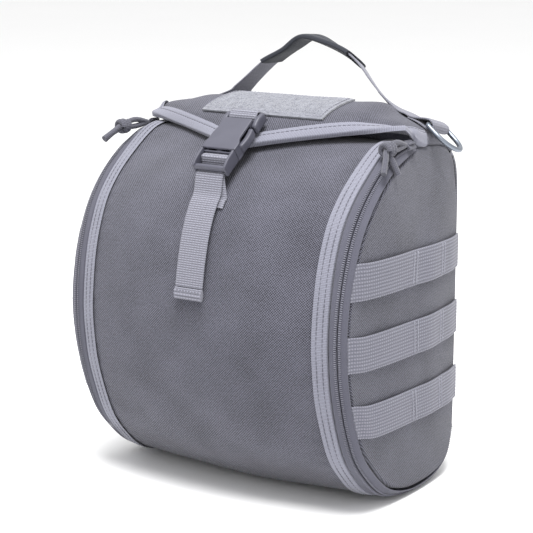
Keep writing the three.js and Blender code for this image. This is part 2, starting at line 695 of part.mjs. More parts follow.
// From the foot of the arch over the shoulder, round the ring's bar and back below it, in right-hand places.
function shoulderStations(hand, footLift) {
  const roofUnderStrap = (x, lift) => roofOver(
    (hand * x) / along(roof, 'sideX', strapRow), strapRow, lift).setX(x);
  const places = [
    roofUnderStrap(80, footLift),
    roofUnderStrap(88, overLift),
    roofUnderStrap(95, overLift),
    byLoop(-4, loopRise),
    byLoop(loopReach - loopRise, loopRise),
    ...stops(4).slice(1, -1).map((t) => byLoop(
      loopReach - loopRise + loopRise * Math.sin(Math.PI * t), loopRise * Math.cos(Math.PI * t))),
    byLoop(loopReach - loopRise, -loopRise),
    byLoop(-2, -loopRise),
    roofUnderStrap(99, underLift + 0.3),
    roofUnderStrap(91, underLift),
  ];
  return places.map((place) => ({ place, side: tiltSide }));
}

const mirrored = ({ place, side }) => ({ place: mirrorX(place), side });
const arch = stops(archSteps).map((t) => ({ place: archPlace(t), side: archSide(t) }));
const rightEnd = shoulderStations(1, overLift);
const leftEnd = shoulderStations(-1, overLift - 0.6).map(mirrored).reverse();
const handleStrap = ribbon([...leftEnd, ...arch, ...rightEnd], webWidth, webThick);

function gripSection(t) {
  const place = archPlace(t);
  const forward = archPlace(t + 0.005).sub(archPlace(t - 0.005));
  const across = archSide(t);
  const up = across.clone().cross(forward).normalize();
  const squared = (value) => Math.sign(value) * Math.sqrt(Math.abs(value));
  const loop = (width, thick) => stops(11).map((k) => {
    const angle = (k * 11 * Math.PI) / 6;
    return place.clone().addScaledVector(across, (width / 2) * squared(Math.cos(angle)))
      .addScaledVector(up, (thick / 2) * squared(Math.sin(angle)));
  });
  const outer = loop(grip.width, grip.thick);
  return { outer, inner: loop(grip.width - 2 * grip.skin, grip.thick - 2 * grip.skin) };
}

function sleeve(sections) {
  const count = sections[0].outer.length;
  const points = sections.flatMap(({ outer, inner }) => [...outer, ...inner]);
  const triangles = [];
  const at = (i, inner, j) => i * 2 * count + inner * count + (j % count);
  const quad = (a, b, c, d) => triangles.push([a, b, c], [a, c, d]);
  for (let i = 0; i + 1 < sections.length; i++) {
    for (let j = 0; j < count; j++) {
      quad(at(i, 0, j), at(i, 0, j + 1), at(i + 1, 0, j + 1), at(i + 1, 0, j));
      quad(at(i, 1, j), at(i + 1, 1, j), at(i + 1, 1, j + 1), at(i, 1, j + 1));
    }
  }
  const last = sections.length - 1;
  for (let j = 0; j < count; j++) {
    quad(at(0, 0, j), at(0, 1, j), at(0, 1, j + 1), at(0, 0, j + 1));
    quad(at(last, 0, j), at(last, 0, j + 1), at(last, 1, j + 1), at(last, 1, j));
  }
  return solid(points, triangles);
}

const gripSteps = grip.to - grip.from;
const handleGrip = sleeve(stops(gripSteps).map((t) => gripSection((grip.from + gripSteps * t) / archSteps)));

// Shoulder rings: straight bar, two legs and a round end
const ringOut = squareToBar(ringSlope);

function ringGeometry(mirror) {
  const path = [];
  const legs = ring.deep - ring.half;
  for (const t of stops(5)) path.push([-ring.half + 2 * ring.half * t, 0]);
  path.push([ring.half, legs * 0.5]);
  for (const t of stops(10)) {
    path.push([ring.half * Math.cos(Math.PI * t), legs + ring.half * Math.sin(Math.PI * t)]);
  }
  path.push([-ring.half, legs * 0.5]);
  const place = ([w, out]) => barPlace.clone().addScaledVector(tiltSide, w).addScaledVector(ringOut, out);
  const upward = tiltSide.clone().cross(ringOut).normalize();
  const sections = path.map((p, i) => {
    const before = place(path[(i + path.length - 1) % path.length]);
    const after = place(path[(i + 1) % path.length]);
    const inward = upward.clone().cross(after.sub(before)).normalize();
    return stops(7).map((k) => {
      const angle = (k * 7 * Math.PI) / 4;
      const q = place(p).addScaledVector(inward, ring.wire * Math.cos(angle))
        .addScaledVector(upward, ring.wire * Math.sin(angle));
      return mirror ? mirrorX(q) : q;
    });
  });
  return sweep(sections, true);
}

// Zip sliders and their cord pulls
function sliderGeometry(mirror) {
  const body = new THREE.BoxGeometry(slider.wide, slider.long, slider.high);
  const bridge = new THREE.BoxGeometry(2.4, slider.long * 0.6, 1.6);
  bridge.translate(0, 0, slider.high / 2 + 0.6);
  const shape = fromManifold(joined(toManifold(body), toManifold(bridge)));
  const { from, to, run, normal } = bandFrame(slider.at);
  const middle = from.clone().lerp(to, 0.5).addScaledVector(normal, slider.off + slider.high / 2);
  const over = normal.clone().cross(run).normalize();
  const points = geometryPoints(shape).map((p) => {
    const q = middle.clone().addScaledVector(over, p.x).addScaledVector(run, p.y);
    q.addScaledVector(normal, p.z);
    return mirror ? mirrorX(q) : q;
  });
  return solid(points, geometryFaces(shape));
}

function cordTube(places, sides = 8) {
  const path = new THREE.CatmullRomCurve3(places.map(({ x, y, z }) => vec(x, y, z)));
  const shape = new THREE.Shape();
  shape.absarc(0, 0, cordRadius, 0, 2 * Math.PI);
  const length = path.getLength();
  const tube = new THREE.ExtrudeGeometry(shape, {
    steps: Math.max(2, Math.round(length / (6 * cordRadius))), extrudePath: path, curveSegments: sides / 2,
    bevelEnabled: false,
  });
  return toManifold(tube);
}

function pullGeometry({ eye, knot, tails }) {
  const spacing = cordRadius * 1.25;
  const middle = vec(eye.x, eye.y, eye.z).lerp(knot, 0.5);
  const strand = (sign) => [
    eye,
    vec(middle.x, middle.y, middle.z + sign * spacing + 1),
    vec(knot.x, knot.y, knot.z + sign * 1.2),
  ];
  const ball = new THREE.SphereGeometry(5, 8, 5);
  ball.translate(knot.x, knot.y, knot.z);
  const bend = vec(0.3, -0.6, 0.6);
  const halfway = (tail) => vec(knot.x, knot.y, knot.z).lerp(tail, 0.5).add(bend);
  const ends = tails.map((tail) => cordTube([knot, halfway(tail), tail]));
  return fromManifold(joined(toManifold(ball), cordTube(strand(1)), cordTube(strand(-1)), ...ends));
}

// Assembly
const group = new THREE.Group();

function add(name, geometry, colour, roughness, metalness = 0) {
  const own = geometry.toNonIndexed();
  own.computeVertexNormals();
  const mesh = new THREE.Mesh(own, new THREE.MeshStandardMaterial({ color: colour, roughness, metalness }));
  mesh.name = name;
  group.add(mesh);
}

add('front_panel', frontPanel, colours.cloth, 0.95);
add('back_panel', backPanel, colours.cloth, 0.95);
add('side_panel_right', side.right, colours.cloth, 0.95);
add('side_panel_left', side.left, colours.cloth, 0.95);
add('top_flap', topFlap, colours.cloth, 0.95);
add('zip_right', zip.right, colours.zip, 0.8);
add('zip_left', zip.left, colours.zip, 0.8);
add('front_binding_right', binding.right, colours.binding, 0.9);
add('front_binding_left', binding.left, colours.binding, 0.9);
add('flap_binding', flapTrim, colours.binding, 0.9);
add('loop_patch', loopPatch, colours.patch, 1);
for (let i = 0; i < rowCount; i++) {
  add(`web_row_right_${i + 1}`, webRow(i, false), colours.web, 0.9);
  add(`web_row_left_${i + 1}`, webRow(i, true), colours.web, 0.9);
}
add('buckle_strap_upper', upperStrap, colours.web, 0.9);
add('buckle_female', female, colours.plastic, 0.5);
add('buckle_male', male, colours.plastic, 0.5);
add('buckle_strap_lower', lowerStrap, colours.web, 0.9);
add('strap_hem', tailHem, colours.web, 0.9);
add('handle_strap', handleStrap, colours.web, 0.9);
add('handle_grip', handleGrip, colours.grip, 0.95);
add('ring_right', ringGeometry(false), colours.metal, 0.4, 0.8);
add('ring_left', ringGeometry(true), colours.metal, 0.4, 0.8);
add('zip_slider_right', sliderGeometry(false), colours.plastic, 0.5, 0.4);
add('zip_slider_left', sliderGeometry(true), colours.plastic, 0.5, 0.4);
add('zip_pull_right', pullGeometry(pullRight), colours.cord, 0.9);
add('zip_pull_left', pullGeometry(pullLeft), colours.cord, 0.9);

export default group;
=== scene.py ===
# Tactical helmet bag: a soft D-shaped bag, closed and standing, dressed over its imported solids.
# Shapes are worked out in millimetres, Z up, front towards -Y, and become metres in the meshes.
import math

import bpy
import numpy as np
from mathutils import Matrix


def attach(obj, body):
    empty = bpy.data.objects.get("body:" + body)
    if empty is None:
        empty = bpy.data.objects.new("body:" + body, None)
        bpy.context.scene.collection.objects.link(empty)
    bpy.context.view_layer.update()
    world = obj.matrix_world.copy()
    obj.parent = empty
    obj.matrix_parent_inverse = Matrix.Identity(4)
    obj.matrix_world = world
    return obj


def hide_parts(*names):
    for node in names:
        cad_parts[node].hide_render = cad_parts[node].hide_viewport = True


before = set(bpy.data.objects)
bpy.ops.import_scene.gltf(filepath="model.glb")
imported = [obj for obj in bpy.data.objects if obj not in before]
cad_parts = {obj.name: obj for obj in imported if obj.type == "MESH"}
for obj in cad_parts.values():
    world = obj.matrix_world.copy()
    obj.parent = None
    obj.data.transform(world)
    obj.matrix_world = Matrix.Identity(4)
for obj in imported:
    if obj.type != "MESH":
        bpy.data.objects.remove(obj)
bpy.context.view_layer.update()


# Studio
# A plain pale floor in a white surround, one large soft light high on the right, and the
# camera where the photograph was taken from.
def linear(hex_colour):
    """An sRGB hex colour as linear RGBA: the standard power curve, straight near black."""
    value = np.array([int(hex_colour[i:i + 2], 16) for i in (1, 3, 5)]) / 255
    bright = np.where(value <= 0.04045, value / 12.92, ((value + 0.055) / 1.055) ** 2.4)
    return (*bright.tolist(), 1.0)


def add_node(tree, kind, inputs, **settings):
    """One shader node: settings are its own choices, inputs gives a socket a value or another's output."""
    node = tree.nodes.new("ShaderNode" + kind)
    for key, value in settings.items():
        setattr(node, key, value)
    for key, value in inputs.items():
        if isinstance(value, bpy.types.NodeSocket):
            tree.links.new(value, node.inputs[key])
        else:
            node.inputs[key].default_value = value
    return node


def new_material(name, roughness, **fixed):
    """A material with its shader's constants set on its own sockets; returns it, its tree and its shader."""
    made = bpy.data.materials.new(name)
    made.use_nodes = True
    tree = made.node_tree
    shader = tree.nodes["Principled BSDF"]
    shader.inputs["Roughness"].default_value = roughness
    for key, value in fixed.items():
        shader.inputs[key.replace("_", " ")].default_value = value
    return made, tree, shader


def put_mesh(name, points, quads):
    """A mesh object from points in mm and quads, shaded smooth."""
    mesh = bpy.data.meshes.new(name)
    mesh.vertices.add(len(points))
    mesh.vertices.foreach_set("co", (points * 0.001).astype(np.float32).ravel())
    mesh.loops.add(quads.size)
    mesh.loops.foreach_set("vertex_index", quads.astype(np.int32).ravel())
    mesh.polygons.add(len(quads))
    mesh.polygons.foreach_set("loop_start", np.arange(0, quads.size, 4, dtype=np.int32))
    mesh.update(calc_edges=True)
    mesh.polygons.foreach_set("use_smooth", np.ones(len(quads), dtype=bool))
    made = bpy.data.objects.new(name, mesh)
    bpy.context.scene.collection.objects.link(made)
    return made


def aim_at(thing, target):
    """Turns a lamp or camera so that its -Z looks at target, Y up."""
    way = np.array(target) - np.array(thing.location)
    flat = math.hypot(way[0], way[1])
    thing.rotation_euler = (math.atan2(flat, -way[2]), 0.0, math.atan2(-way[0], way[1]))


# Matt white painted board: a pale floor with a barely uneven coat.
floor_paint, floor_tree, floor_shader = new_material("matt_white_paint", 0.9)
floor_place = add_node(floor_tree, "TexCoord", {})
floor_coat = add_node(floor_tree, "TexNoise", {"Vector": floor_place.outputs["Object"], "Scale": 3.0})
floor_tone = add_node(floor_tree, "ValToRGB", {"Fac": floor_coat.outputs["Fac"]})
floor_tone.color_ramp.elements[0].color = linear("#fafafa")
floor_tone.color_ramp.elements[1].color = linear("#fcfcfc")
floor_tree.links.new(floor_tone.outputs["Color"], floor_shader.inputs["Base Color"])
floor_half = 12000.0
floor_corners = floor_half * np.array([[-1, -1, 0], [1, -1, 0], [1, 1, 0], [-1, 1, 0]])
floor = put_mesh("floor", floor_corners, np.array([[0, 1, 2, 3]]))
floor.data.materials.append(floor_paint)

surround = bpy.data.worlds.new("white_surround")
surround.use_nodes = True
surround.node_tree.nodes["Background"].inputs["Color"].default_value = linear("#ffffff")
surround.node_tree.nodes["Background"].inputs["Strength"].default_value = 0.95
bpy.context.scene.world = surround
bpy.context.scene.view_settings.view_transform = "Standard"

key_lamp = bpy.data.lights.new("key_light", "AREA")
key_lamp.energy = 60.0
key_lamp.size = 0.9
key_light = bpy.data.objects.new("key_light", key_lamp)
bpy.context.scene.collection.objects.link(key_light)
key_light.location = (0.3, -0.45, 1.9)
aim_at(key_light, (0.0, 0.0, 0.14))

lens = bpy.data.cameras.new("camera")
lens.lens = 119.8
lens.sensor_width = 36.0
camera = bpy.data.objects.new("camera", lens)
bpy.context.scene.collection.objects.link(camera)
camera.location = (0.716, -1.0605, 0.4318)
aim_at(camera, (0.0034, -0.004, 0.1586))
bpy.context.scene.camera = camera


# Front panel
# One cloth from under the flap, down the bulging front and under the bottom to the foot of the back:
# woven polyester over thin foam, taut over its stuffing, its edges taken into the binding tapes.
wall = 2.5
gap = 0.4
tape = 1.1
edge_x = 105.4
panel_half = edge_x - tape - gap

# Rows from the top round to the back: edge y and z, side seam x, y and z, and the bulge of the front.
profile = np.array([
    [18, 257, 112, 24, 250.5, 0.5],
    [4, 257, 114.5, 6, 247, 1.5],
    [-11, 253, 116.5, -10, 243, 3],
    [-31, 240, 118.5, -28, 235, 7],
    [-53, 222, 119, -48, 218, 11],
    [-69, 199, 119, -63.5, 196, 12],
    [-79, 167, 119, -75, 165, 12],
    [-83, 131, 119, -79.5, 131, 12],
    [-79, 92, 119, -75, 94, 11],
    [-65, 51, 119, -60.5, 54, 8],
    [-46, 25, 119, -41, 30, 5.5],
    [-22, 7.5, 119, -18, 12.5, 4],
    [8, 1.5, 119, 9, 4.5, 3.5],
    [38, 1.3, 118.5, 36, 4, 3.5],
    [63, 3.5, 117.5, 58, 8.5, 3],
    [80, 11, 116, 73, 18, 1],
    [91, 28.6, 114.5, 81.5, 36, 0.2],
], float)


def along(rows, u):
    """A smooth curve through the rows of a table, u from 0 to 1: uniform Catmull-Rom, ends held."""
    rows = np.asarray(rows, float)
    at = np.clip(u, 0, 1) * (len(rows) - 1)
    k = np.minimum(np.floor(at).astype(int), len(rows) - 2)
    f = (at - k)[..., None]
    a, b, c, d = (rows[np.clip(k + i, 0, len(rows) - 1)] for i in (-1, 0, 1, 2))
    return 0.5 * (2 * b + (c - a) * f + (2 * a - 5 * b + 4 * c - d) * f**2 + (3 * b - a - 3 * c + d) * f**3)


def unit(vectors):
    """Vectors divided by their own length."""
    return vectors / np.linalg.norm(vectors, axis=-1, keepdims=True)


def outward(u):
    """The way out of the bag along the profile: its direction turned a quarter in the y-z plane."""
    step = along(profile, u + 0.002) - along(profile, u - 0.002)
    return unit(np.stack([0 * step[..., 0], step[..., 1], -step[..., 0]], -1))


def front(u, x, off):
    """The front: the profile's edge line lifted by its bulge, which falls as a parabola to the edges.

    off is a further way out; the bottom is pressed flat on the floor."""
    row = along(profile, u)
    low = tape + gap
    lift = (row[..., 5] + low) * (1 - (x / edge_x) ** 2) - low + off
    out = outward(u)
    y = row[..., 0] + out[..., 1] * lift
    z = row[..., 1] + out[..., 2] * lift
    return np.stack([x + 0 * y, y, np.maximum(z, -off)], -1)


def run_length(points):
    """How far each point of a line lies from its start, along the line."""
    return np.concatenate([[0.0], np.cumsum(np.linalg.norm(np.diff(points, axis=0), axis=1))])


def ripple(a, b):
    """Slow uneven swells of soft cloth, about -1 to 1: three sines of different length and heading."""
    slow = 0.45 * np.sin(a / 26 + 0.8 * np.sin(b / 43))
    long = 0.35 * np.sin(b / 37 + a / 61 + 1.3)
    return slow + long + 0.2 * np.sin(a / 15 - b / 19 + 0.5)


def grid(a, b):
    """Two values side by side at each point of a grid, such as UVs in mm."""
    return np.stack(np.broadcast_arrays(a, b), -1).astype(float)


def loft(rings, marks=None, closed=False):
    """Closed rings of points carried along a path, rings[i, j]; strips across the ring close both ends.

    marks are UVs in mm with one more column than rings; a closed path joins its last ring to its first."""
    count, around = rings.shape[:2]
    if closed:
        rings = np.concatenate([rings, rings[:1]])
    steps = len(rings) - 1
    if marks is None:
        marks = grid(np.arange(steps + 1)[:, None], np.arange(around + 1)[None, :])
    ring, place = (index.ravel() for index in np.indices((steps, around)))
    here = ring * around + place
    beside = np.where(place + 1 < around, here + 1, here + 1 - around)
    quads = np.stack([here, beside, beside + around, here + around], -1)
    mark = ring * (around + 1) + place
    spots = np.stack([mark, mark + 1, mark + around + 2, mark + around + 1], -1)
    points = rings.reshape(-1, 3)
    if closed:
        quads %= count * around
        points = points[:count * around]
    else:
        rung = np.arange(around // 2 - 1)
        near = np.stack([rung + 1, rung, around - 1 - rung, around - 2 - rung], -1)
        far = near[:, ::-1]
        quads = np.concatenate([quads, near, far + steps * around])
        spots = np.concatenate([spots, near, far + steps * (around + 1)])
    p, q, r, s = (points[quads[:, c]] for c in range(4))
    volume = np.sum(p * np.cross(q, r)) + np.sum(p * np.cross(r, s))
    if volume < 0:
        quads = quads[:, ::-1]
        spots = spots[:, ::-1]
    return points, quads, marks.reshape(-1, 2)[spots]


def walled(outer, inner):
    """The rings of a sheet with thickness: each row goes out over the outer layer and back under it."""
    return np.concatenate([outer, inner[:, ::-1]], axis=1)


def wall_marks(a, b):
    """UVs of such a sheet: the same a and b on both layers."""
    both = grid(a, b)
    return np.concatenate([both, both[:, ::-1], both[:, :1]], axis=1)


def piece(name, parts, material, replaces=(), body="bag"):
    """One named piece from lofted parts: joined into a mesh at the origin, with its UVs, finish and body."""
    counts = np.cumsum([0] + [len(points) for points, _, _ in parts])
    points = np.concatenate([p for p, _, _ in parts])
    quads = np.concatenate([q + start for (_, q, _), start in zip(parts, counts)])
    marks = np.concatenate([spots for _, _, spots in parts])
    made = put_mesh(name, points, quads)
    layer = made.data.uv_layers.new(name="UVMap")
    layer.data.foreach_set("uv", marks.astype(np.float32).ravel())
    made.data.set_sharp_from_angle(angle=math.radians(50))
    made.data.materials.append(material)
    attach(made, body)
    if replaces:
        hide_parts(*replaces)
    return made


def coat(tree, shader, tone, dark, light, height, strength, relief):
    """Colours a surface from dark to light by its tone and lifts it by its height, relief in mm."""
    colour = add_node(tree, "Mix", {0: tone, 6: linear(dark), 7: linear(light)}, data_type="RGBA")
    bump = add_node(tree, "Bump", {"Height": height, "Strength": strength, "Distance": relief * 0.001})
    tree.links.new(colour.outputs[2], shader.inputs["Base Color"])
    tree.links.new(bump.outputs["Normal"], shader.inputs["Normal"])


def woven_cloth(name, dark, light, thread, relief, sheen):
    """Plain weave: the product of two sines along the UVs gives threads going over and under.

    They tint and lift the surface, with slow noise for uneven dye and fine noise for loose fibres."""
    made, tree, shader = new_material(name, 0.92, Sheen_Weight=sheen, Sheen_Roughness=0.5)
    place = add_node(tree, "TexCoord", {})
    split = add_node(tree, "SeparateXYZ", {0: place.outputs["UV"]})
    turns = 2 * math.pi / thread
    warp_turn = add_node(tree, "Math", {0: split.outputs["X"], 1: turns}, operation="MULTIPLY")
    weft_turn = add_node(tree, "Math", {0: split.outputs["Y"], 1: turns}, operation="MULTIPLY")
    warp = add_node(tree, "Math", {0: warp_turn.outputs[0]}, operation="SINE")
    weft = add_node(tree, "Math", {0: weft_turn.outputs[0]}, operation="SINE")
    crossing = add_node(tree, "Math", {0: warp.outputs[0], 1: weft.outputs[0]}, operation="MULTIPLY")
    fibre = add_node(tree, "TexNoise", {"Vector": place.outputs["UV"], "Scale": 1.3 / thread, "Detail": 3.0})
    dye = add_node(tree, "TexNoise", {"Vector": place.outputs["UV"], "Scale": 0.03, "Detail": 2.0})
    height = add_node(tree, "Math", {0: crossing.outputs[0], 1: 0.6, 2: fibre.outputs["Fac"]},
                      operation="MULTIPLY_ADD")
    shade = add_node(tree, "Math", {0: dye.outputs["Fac"], 1: 0.5, 2: height.outputs[0]},
                     operation="MULTIPLY_ADD")
    tone = add_node(tree, "MapRange", {"Value": shade.outputs[0], "From Min": 0.35, "From Max": 1.15})
    coat(tree, shader, tone.outputs[0], dark, light, height.outputs[0], 0.6, relief)
    return made


# Woven polyester oxford: soft matt grey with a lively grid of pale and dark threads. The real thread
# pair is about 1 mm and is drawn at 1.9 mm so that it shows.
oxford = woven_cloth("woven_polyester_oxford", "#15151c", "#5f5f6c", 1.9, 0.4, 0.15)
front_u = np.linspace(0, 1, 261)
front_rows = front_u[:, None]
front_down = run_length(front(front_u, 0.0, 0.0))[:, None]
front_x = panel_half * np.linspace(-1, 1, 121)[None, :]
inside_edge = 1 - (np.abs(front_x) / edge_x) ** 4
pucker = 0.22 * np.sin(front_down / 1.9) * np.exp(-(((np.abs(front_x) - 91) / 4.5) ** 2))
front_swell = 0.9 * inside_edge * ripple(front_x, front_down) + pucker
front_outer = front(front_rows, front_x, front_swell)
front_outer[..., 2] = np.maximum(front_outer[..., 2], 0.0)
front_inner = front(front_rows, front_x, front_swell - wall)
front_inner[..., 2] = np.maximum(front_inner[..., 2], wall)
front_panel = piece(
    "front_cloth", [loft(walled(front_outer, front_inner), wall_marks(front_x, front_down))],
    oxford, ["front_panel"])


# Front bindings
# Light grosgrain tape folded over each long edge of the front and sewn down with two rows of
# lockstitch; it runs from under the flap round the bottom to the foot of the back.
binding_width = 10.8
binding_rows = (0.33, 0.75)
fold = 0.6
fold_foot = -wall - gap - 0.4


def spindle(long, wide, tall):
    """One stitch lying along x: five rings of six points that swell to the middle and close at the ends."""
    t = np.linspace(-1, 1, 5)[:, None]
    turn = np.linspace(0, 2 * np.pi, 6, endpoint=False)[None, :]
    round_off = np.sqrt(1 - (0.92 * t) ** 2)
    rings = np.stack(np.broadcast_arrays(
        t * long / 2, round_off * np.cos(turn) * wide / 2, round_off * np.sin(turn) * tall / 2), -1)
    return loft(rings)


def repeated(shape, places, ahead, up):
    """The same small shape at many places, its x along ahead and its z along up."""
    points, quads, marks = shape
    ahead = unit(ahead)
    side = unit(np.cross(up, ahead))
    axes = np.stack([ahead, side, np.cross(ahead, side)], 1)
    moved = places[:, None, :] + np.einsum("pc,kcd->kpd", points, axes)
    shift = np.arange(len(places))[:, None, None] * len(points)
    return moved.reshape(-1, 3), (quads[None] + shift).reshape(-1, 4), np.tile(marks, (len(places), 1, 1))


def at_run(line, run, at):
    """The values of a line's rows at given distances along it."""
    return np.stack([np.interp(at, run, line[:, c]) for c in range(line.shape[1])], -1)


def spaced(line, pitch):
    """Every pitch mm along a line: the distances, positions and headings there."""
    run = run_length(line)
    at = np.arange(pitch / 2, run[-1], pitch)
    return at, at_run(line, run, at), at_run(line, run, at + 0.6) - at_run(line, run, at - 0.6)


def stitched(line, up, pitch=3.4, long=2.7, thick=0.75):
    """A row of lockstitch along a line: a spindle at every pitch, half sunk into the tape."""
    at, place, ahead = spaced(line, pitch)
    return repeated(spindle(long, thick, thick * 0.8), place, ahead, at_run(up, run_length(line), at))


def mirrored(points):
    """Points reflected in the bag's middle plane."""
    return points * np.array([-1.0, 1.0, 1.0])


def both_sides(parts):
    """Parts for the right side as they are, and for the left side reflected, their faces turned to match."""
    yield "right", parts
    yield "left", [(mirrored(points), quads[:, ::-1], marks[:, ::-1]) for points, quads, marks in parts]


def ribbed_tape(name, dark, light, rib, relief):
    """Grosgrain: a sine along the tape's length gives fine crosswise ribs, broken by fibre noise."""
    made, tree, shader = new_material(name, 0.85, Sheen_Weight=0.2, Sheen_Roughness=0.5)
    place = add_node(tree, "TexCoord", {})
    split = add_node(tree, "SeparateXYZ", {0: place.outputs["UV"]})
    fibre = add_node(tree, "TexNoise", {"Vector": place.outputs["UV"], "Scale": 0.9, "Detail": 3.0})
    turn = add_node(tree, "Math", {0: split.outputs["Y"], 1: 2 * math.pi / rib}, operation="MULTIPLY")
    ribs = add_node(tree, "Math", {0: turn.outputs[0]}, operation="SINE")
    height = add_node(tree, "Math", {0: ribs.outputs[0], 1: 0.35, 2: fibre.outputs["Fac"]},
                      operation="MULTIPLY_ADD")
    tone = add_node(tree, "MapRange", {"Value": height.outputs[0], "From Min": 0.1, "From Max": 0.9})
    coat(tree, shader, tone.outputs[0], dark, light, height.outputs[0], 0.5, relief)
    return made


# Polyester grosgrain: pale silver-grey tape with fine ribs, real ribs 0.7 mm drawn at 1.2 mm to show.
grosgrain = ribbed_tape("polyester_grosgrain_tape", "#62626d", "#81828f", 1.2, 0.25)
# Bonded polyester thread, drawn clearly darker than the tape: the dark is painted shade standing for the
# shadow in the sunk stitch dents. It has a slight twist shine.
thread = ribbed_tape("bonded_polyester_thread_painted_shade", "#3f3f49", "#575762", 0.9, 0.1)


def tape_height(s, stitch_rows):
    """The tape's top across its width, s from 0 to 1: gently domed, drawn down at its rows of stitches."""
    rows = sum(np.exp(-(((s - row) / 0.055) ** 2)) for row in stitch_rows)
    return 0.3 * np.sin(np.pi * s) - 0.25 * rows


tape_s = np.linspace(0, 1, 25)
tape_turn = np.linspace(0, np.pi / 2, 6)[1:]
tape_inner = edge_x - binding_width
tape_x = np.concatenate([
    tape_inner + (binding_width - fold) * tape_s, edge_x - fold + fold * np.sin(tape_turn),
    np.full(5, edge_x), np.full(4, edge_x - tape), np.linspace(edge_x - tape, tape_inner, 9)[1:-1]])
tape_lift = np.concatenate([
    gap + tape + tape_height(tape_s, binding_rows), gap + 0.4 + (tape - 0.4) * np.cos(tape_turn),
    np.linspace(gap, fold_foot, 5), np.linspace(fold_foot, gap, 4), np.full(7, gap)])
tape_wave = 0.18 * np.sin(front_down / 7.3 + 0.5 * np.sin(front_down / 17)) * (tape_lift > gap)
tape_rings = front(front_rows, np.minimum(tape_x, panel_half)[None, :], tape_lift[None, :] + tape_wave)
tape_rings[..., 0] = tape_x
tape_rings[..., 2] = np.maximum(tape_rings[..., 2], 0.1)
binding_parts = [loft(tape_rings, grid(np.append(tape_x, tape_x[0])[None, :], front_down))]
for seam_share in binding_rows:
    seam_x = tape_inner + (binding_width - fold) * seam_share
    seam_lift = gap + tape + tape_height(seam_share, binding_rows) + 0.1
    seam_line = front(front_u, min(seam_x, panel_half), seam_lift)
    seam_line[:, 0] = seam_x
    seam_line[:, 2] = np.maximum(seam_line[:, 2], 0.35)
    binding_parts.append(stitched(seam_line, outward(front_u)))
for hand, parts in both_sides(binding_parts):
    piece(f"binding_tape_{hand}", parts[:1], grosgrain, [f"front_binding_{hand}"])
    piece(f"binding_stitches_{hand}", parts[1:], thread)


# Zips
# A closed coil zip each side between the front's binding and the side panel: two woven tapes,
# a row of nylon coil teeth along each, and the back of the meshed coil sunk between them.
zip_sunk = 0.5
zip_thick = 0.9
zip_slit = 0.07
tooth_pitch = 1.5
tooth_size = (1.8, 0.75, 0.9)
tooth_lift = 1.6
tooth_beside = 1.6


def band(u, share, lift):
    """The zip band: a straight line from beside the binding to the side seam, lifted along its normal."""
    row = along(profile, u)
    out = outward(u)
    flat = 0 * row[..., 0]
    start = np.stack([flat + edge_x + gap + 0.5, row[..., 0], row[..., 1]], -1) - zip_sunk * out
    over = row[..., 2:5] - start
    normal = unit(np.cross(np.stack([flat, -out[..., 2], out[..., 1]], -1), over))
    normal *= np.sign(np.sum(normal * out, -1, keepdims=True))
    return start + over * np.asarray(share)[..., None] + normal * np.asarray(lift)[..., None]


def tape_strip(near, far, sunk=0.0):
    """One zip tape from share near to share far: it rises to the teeth and dives beside the binding."""
    share = np.linspace(near, far, 17)[None, :]
    rise = 0.9 * np.minimum(np.minimum(share, 1 - share) / 0.3, 1)
    crown = 0.35 * np.exp(-(((share - 0.5) / 0.12) ** 2))
    dive = 3 * np.clip((0.06 - share) / 0.09, 0, 1) ** 2
    weave = 0.12 * np.sin(front_down / 5.7) * np.sin(share * np.pi)
    lift = rise + crown - dive + weave - sunk
    layers = walled(band(front_rows, share, lift), band(front_rows, share, lift - zip_thick))
    return loft(layers, wall_marks(share * 14, front_down))


def teeth(way, offset):
    """One row of coil teeth: a spindle across the tape at every pitch, beside the meshing line."""
    middle = band(front_u, 0.5, tooth_lift)
    over = unit(band(front_u, 0.6, tooth_lift) - middle)
    up = unit(band(front_u, 0.5, tooth_lift + 1) - middle)
    run = run_length(middle)
    at = np.arange(tooth_pitch / 2, run[-1], tooth_pitch) + offset
    place, over, up = (at_run(line, run, at) for line in (middle, over, up))
    return repeated(spindle(*tooth_size), place + way * tooth_beside * over, over, up)


# Woven zip tape: closer and duller than the cloth, real threads 0.5 mm drawn at 1.0 mm to show.
zip_tape = woven_cloth("woven_zip_tape", "#3f3f4a", "#575763", 1.0, 0.15, 0.1)
# Nylon coil: smooth monofilament teeth with a faint gloss.
coil_nylon = ribbed_tape("nylon_coil", "#5f5f6a", "#7d7d89", 0.8, 0.05)
zip_strips = [
    tape_strip(-0.03, 0.5 - zip_slit / 2), tape_strip(0.5 + zip_slit / 2, 1.0), tape_strip(0.44, 0.56, 2.0)]
for hand, parts in both_sides(zip_strips + [teeth(1, 0.0), teeth(-1, tooth_pitch / 2)]):
    piece(f"zip_tapes_{hand}", parts[:3], zip_tape, [f"zip_{hand}"])
    piece(f"zip_coil_{hand}", parts[3:], coil_nylon)


# Side panels
# D-shaped padded cloth each side, bulging a little, its edge turned in and sewn to the zip tape in
# front and below, to the back panel behind and to the roof above.
side_back = np.array([
    [114.5, 81.5, 36],
    [113, 85, 64],
    [112, 85.5, 110],
    [112, 85.5, 160],
    [112, 84.5, 206],
    [111.5, 79, 235.5],
    [111, 66, 246.6],
    [111, 45, 250],
    [112, 24, 250.5],
])
side_centre = np.array([122.5, 8.0, 128.0])
zip_inset = 2.0
back_lap = 0.9


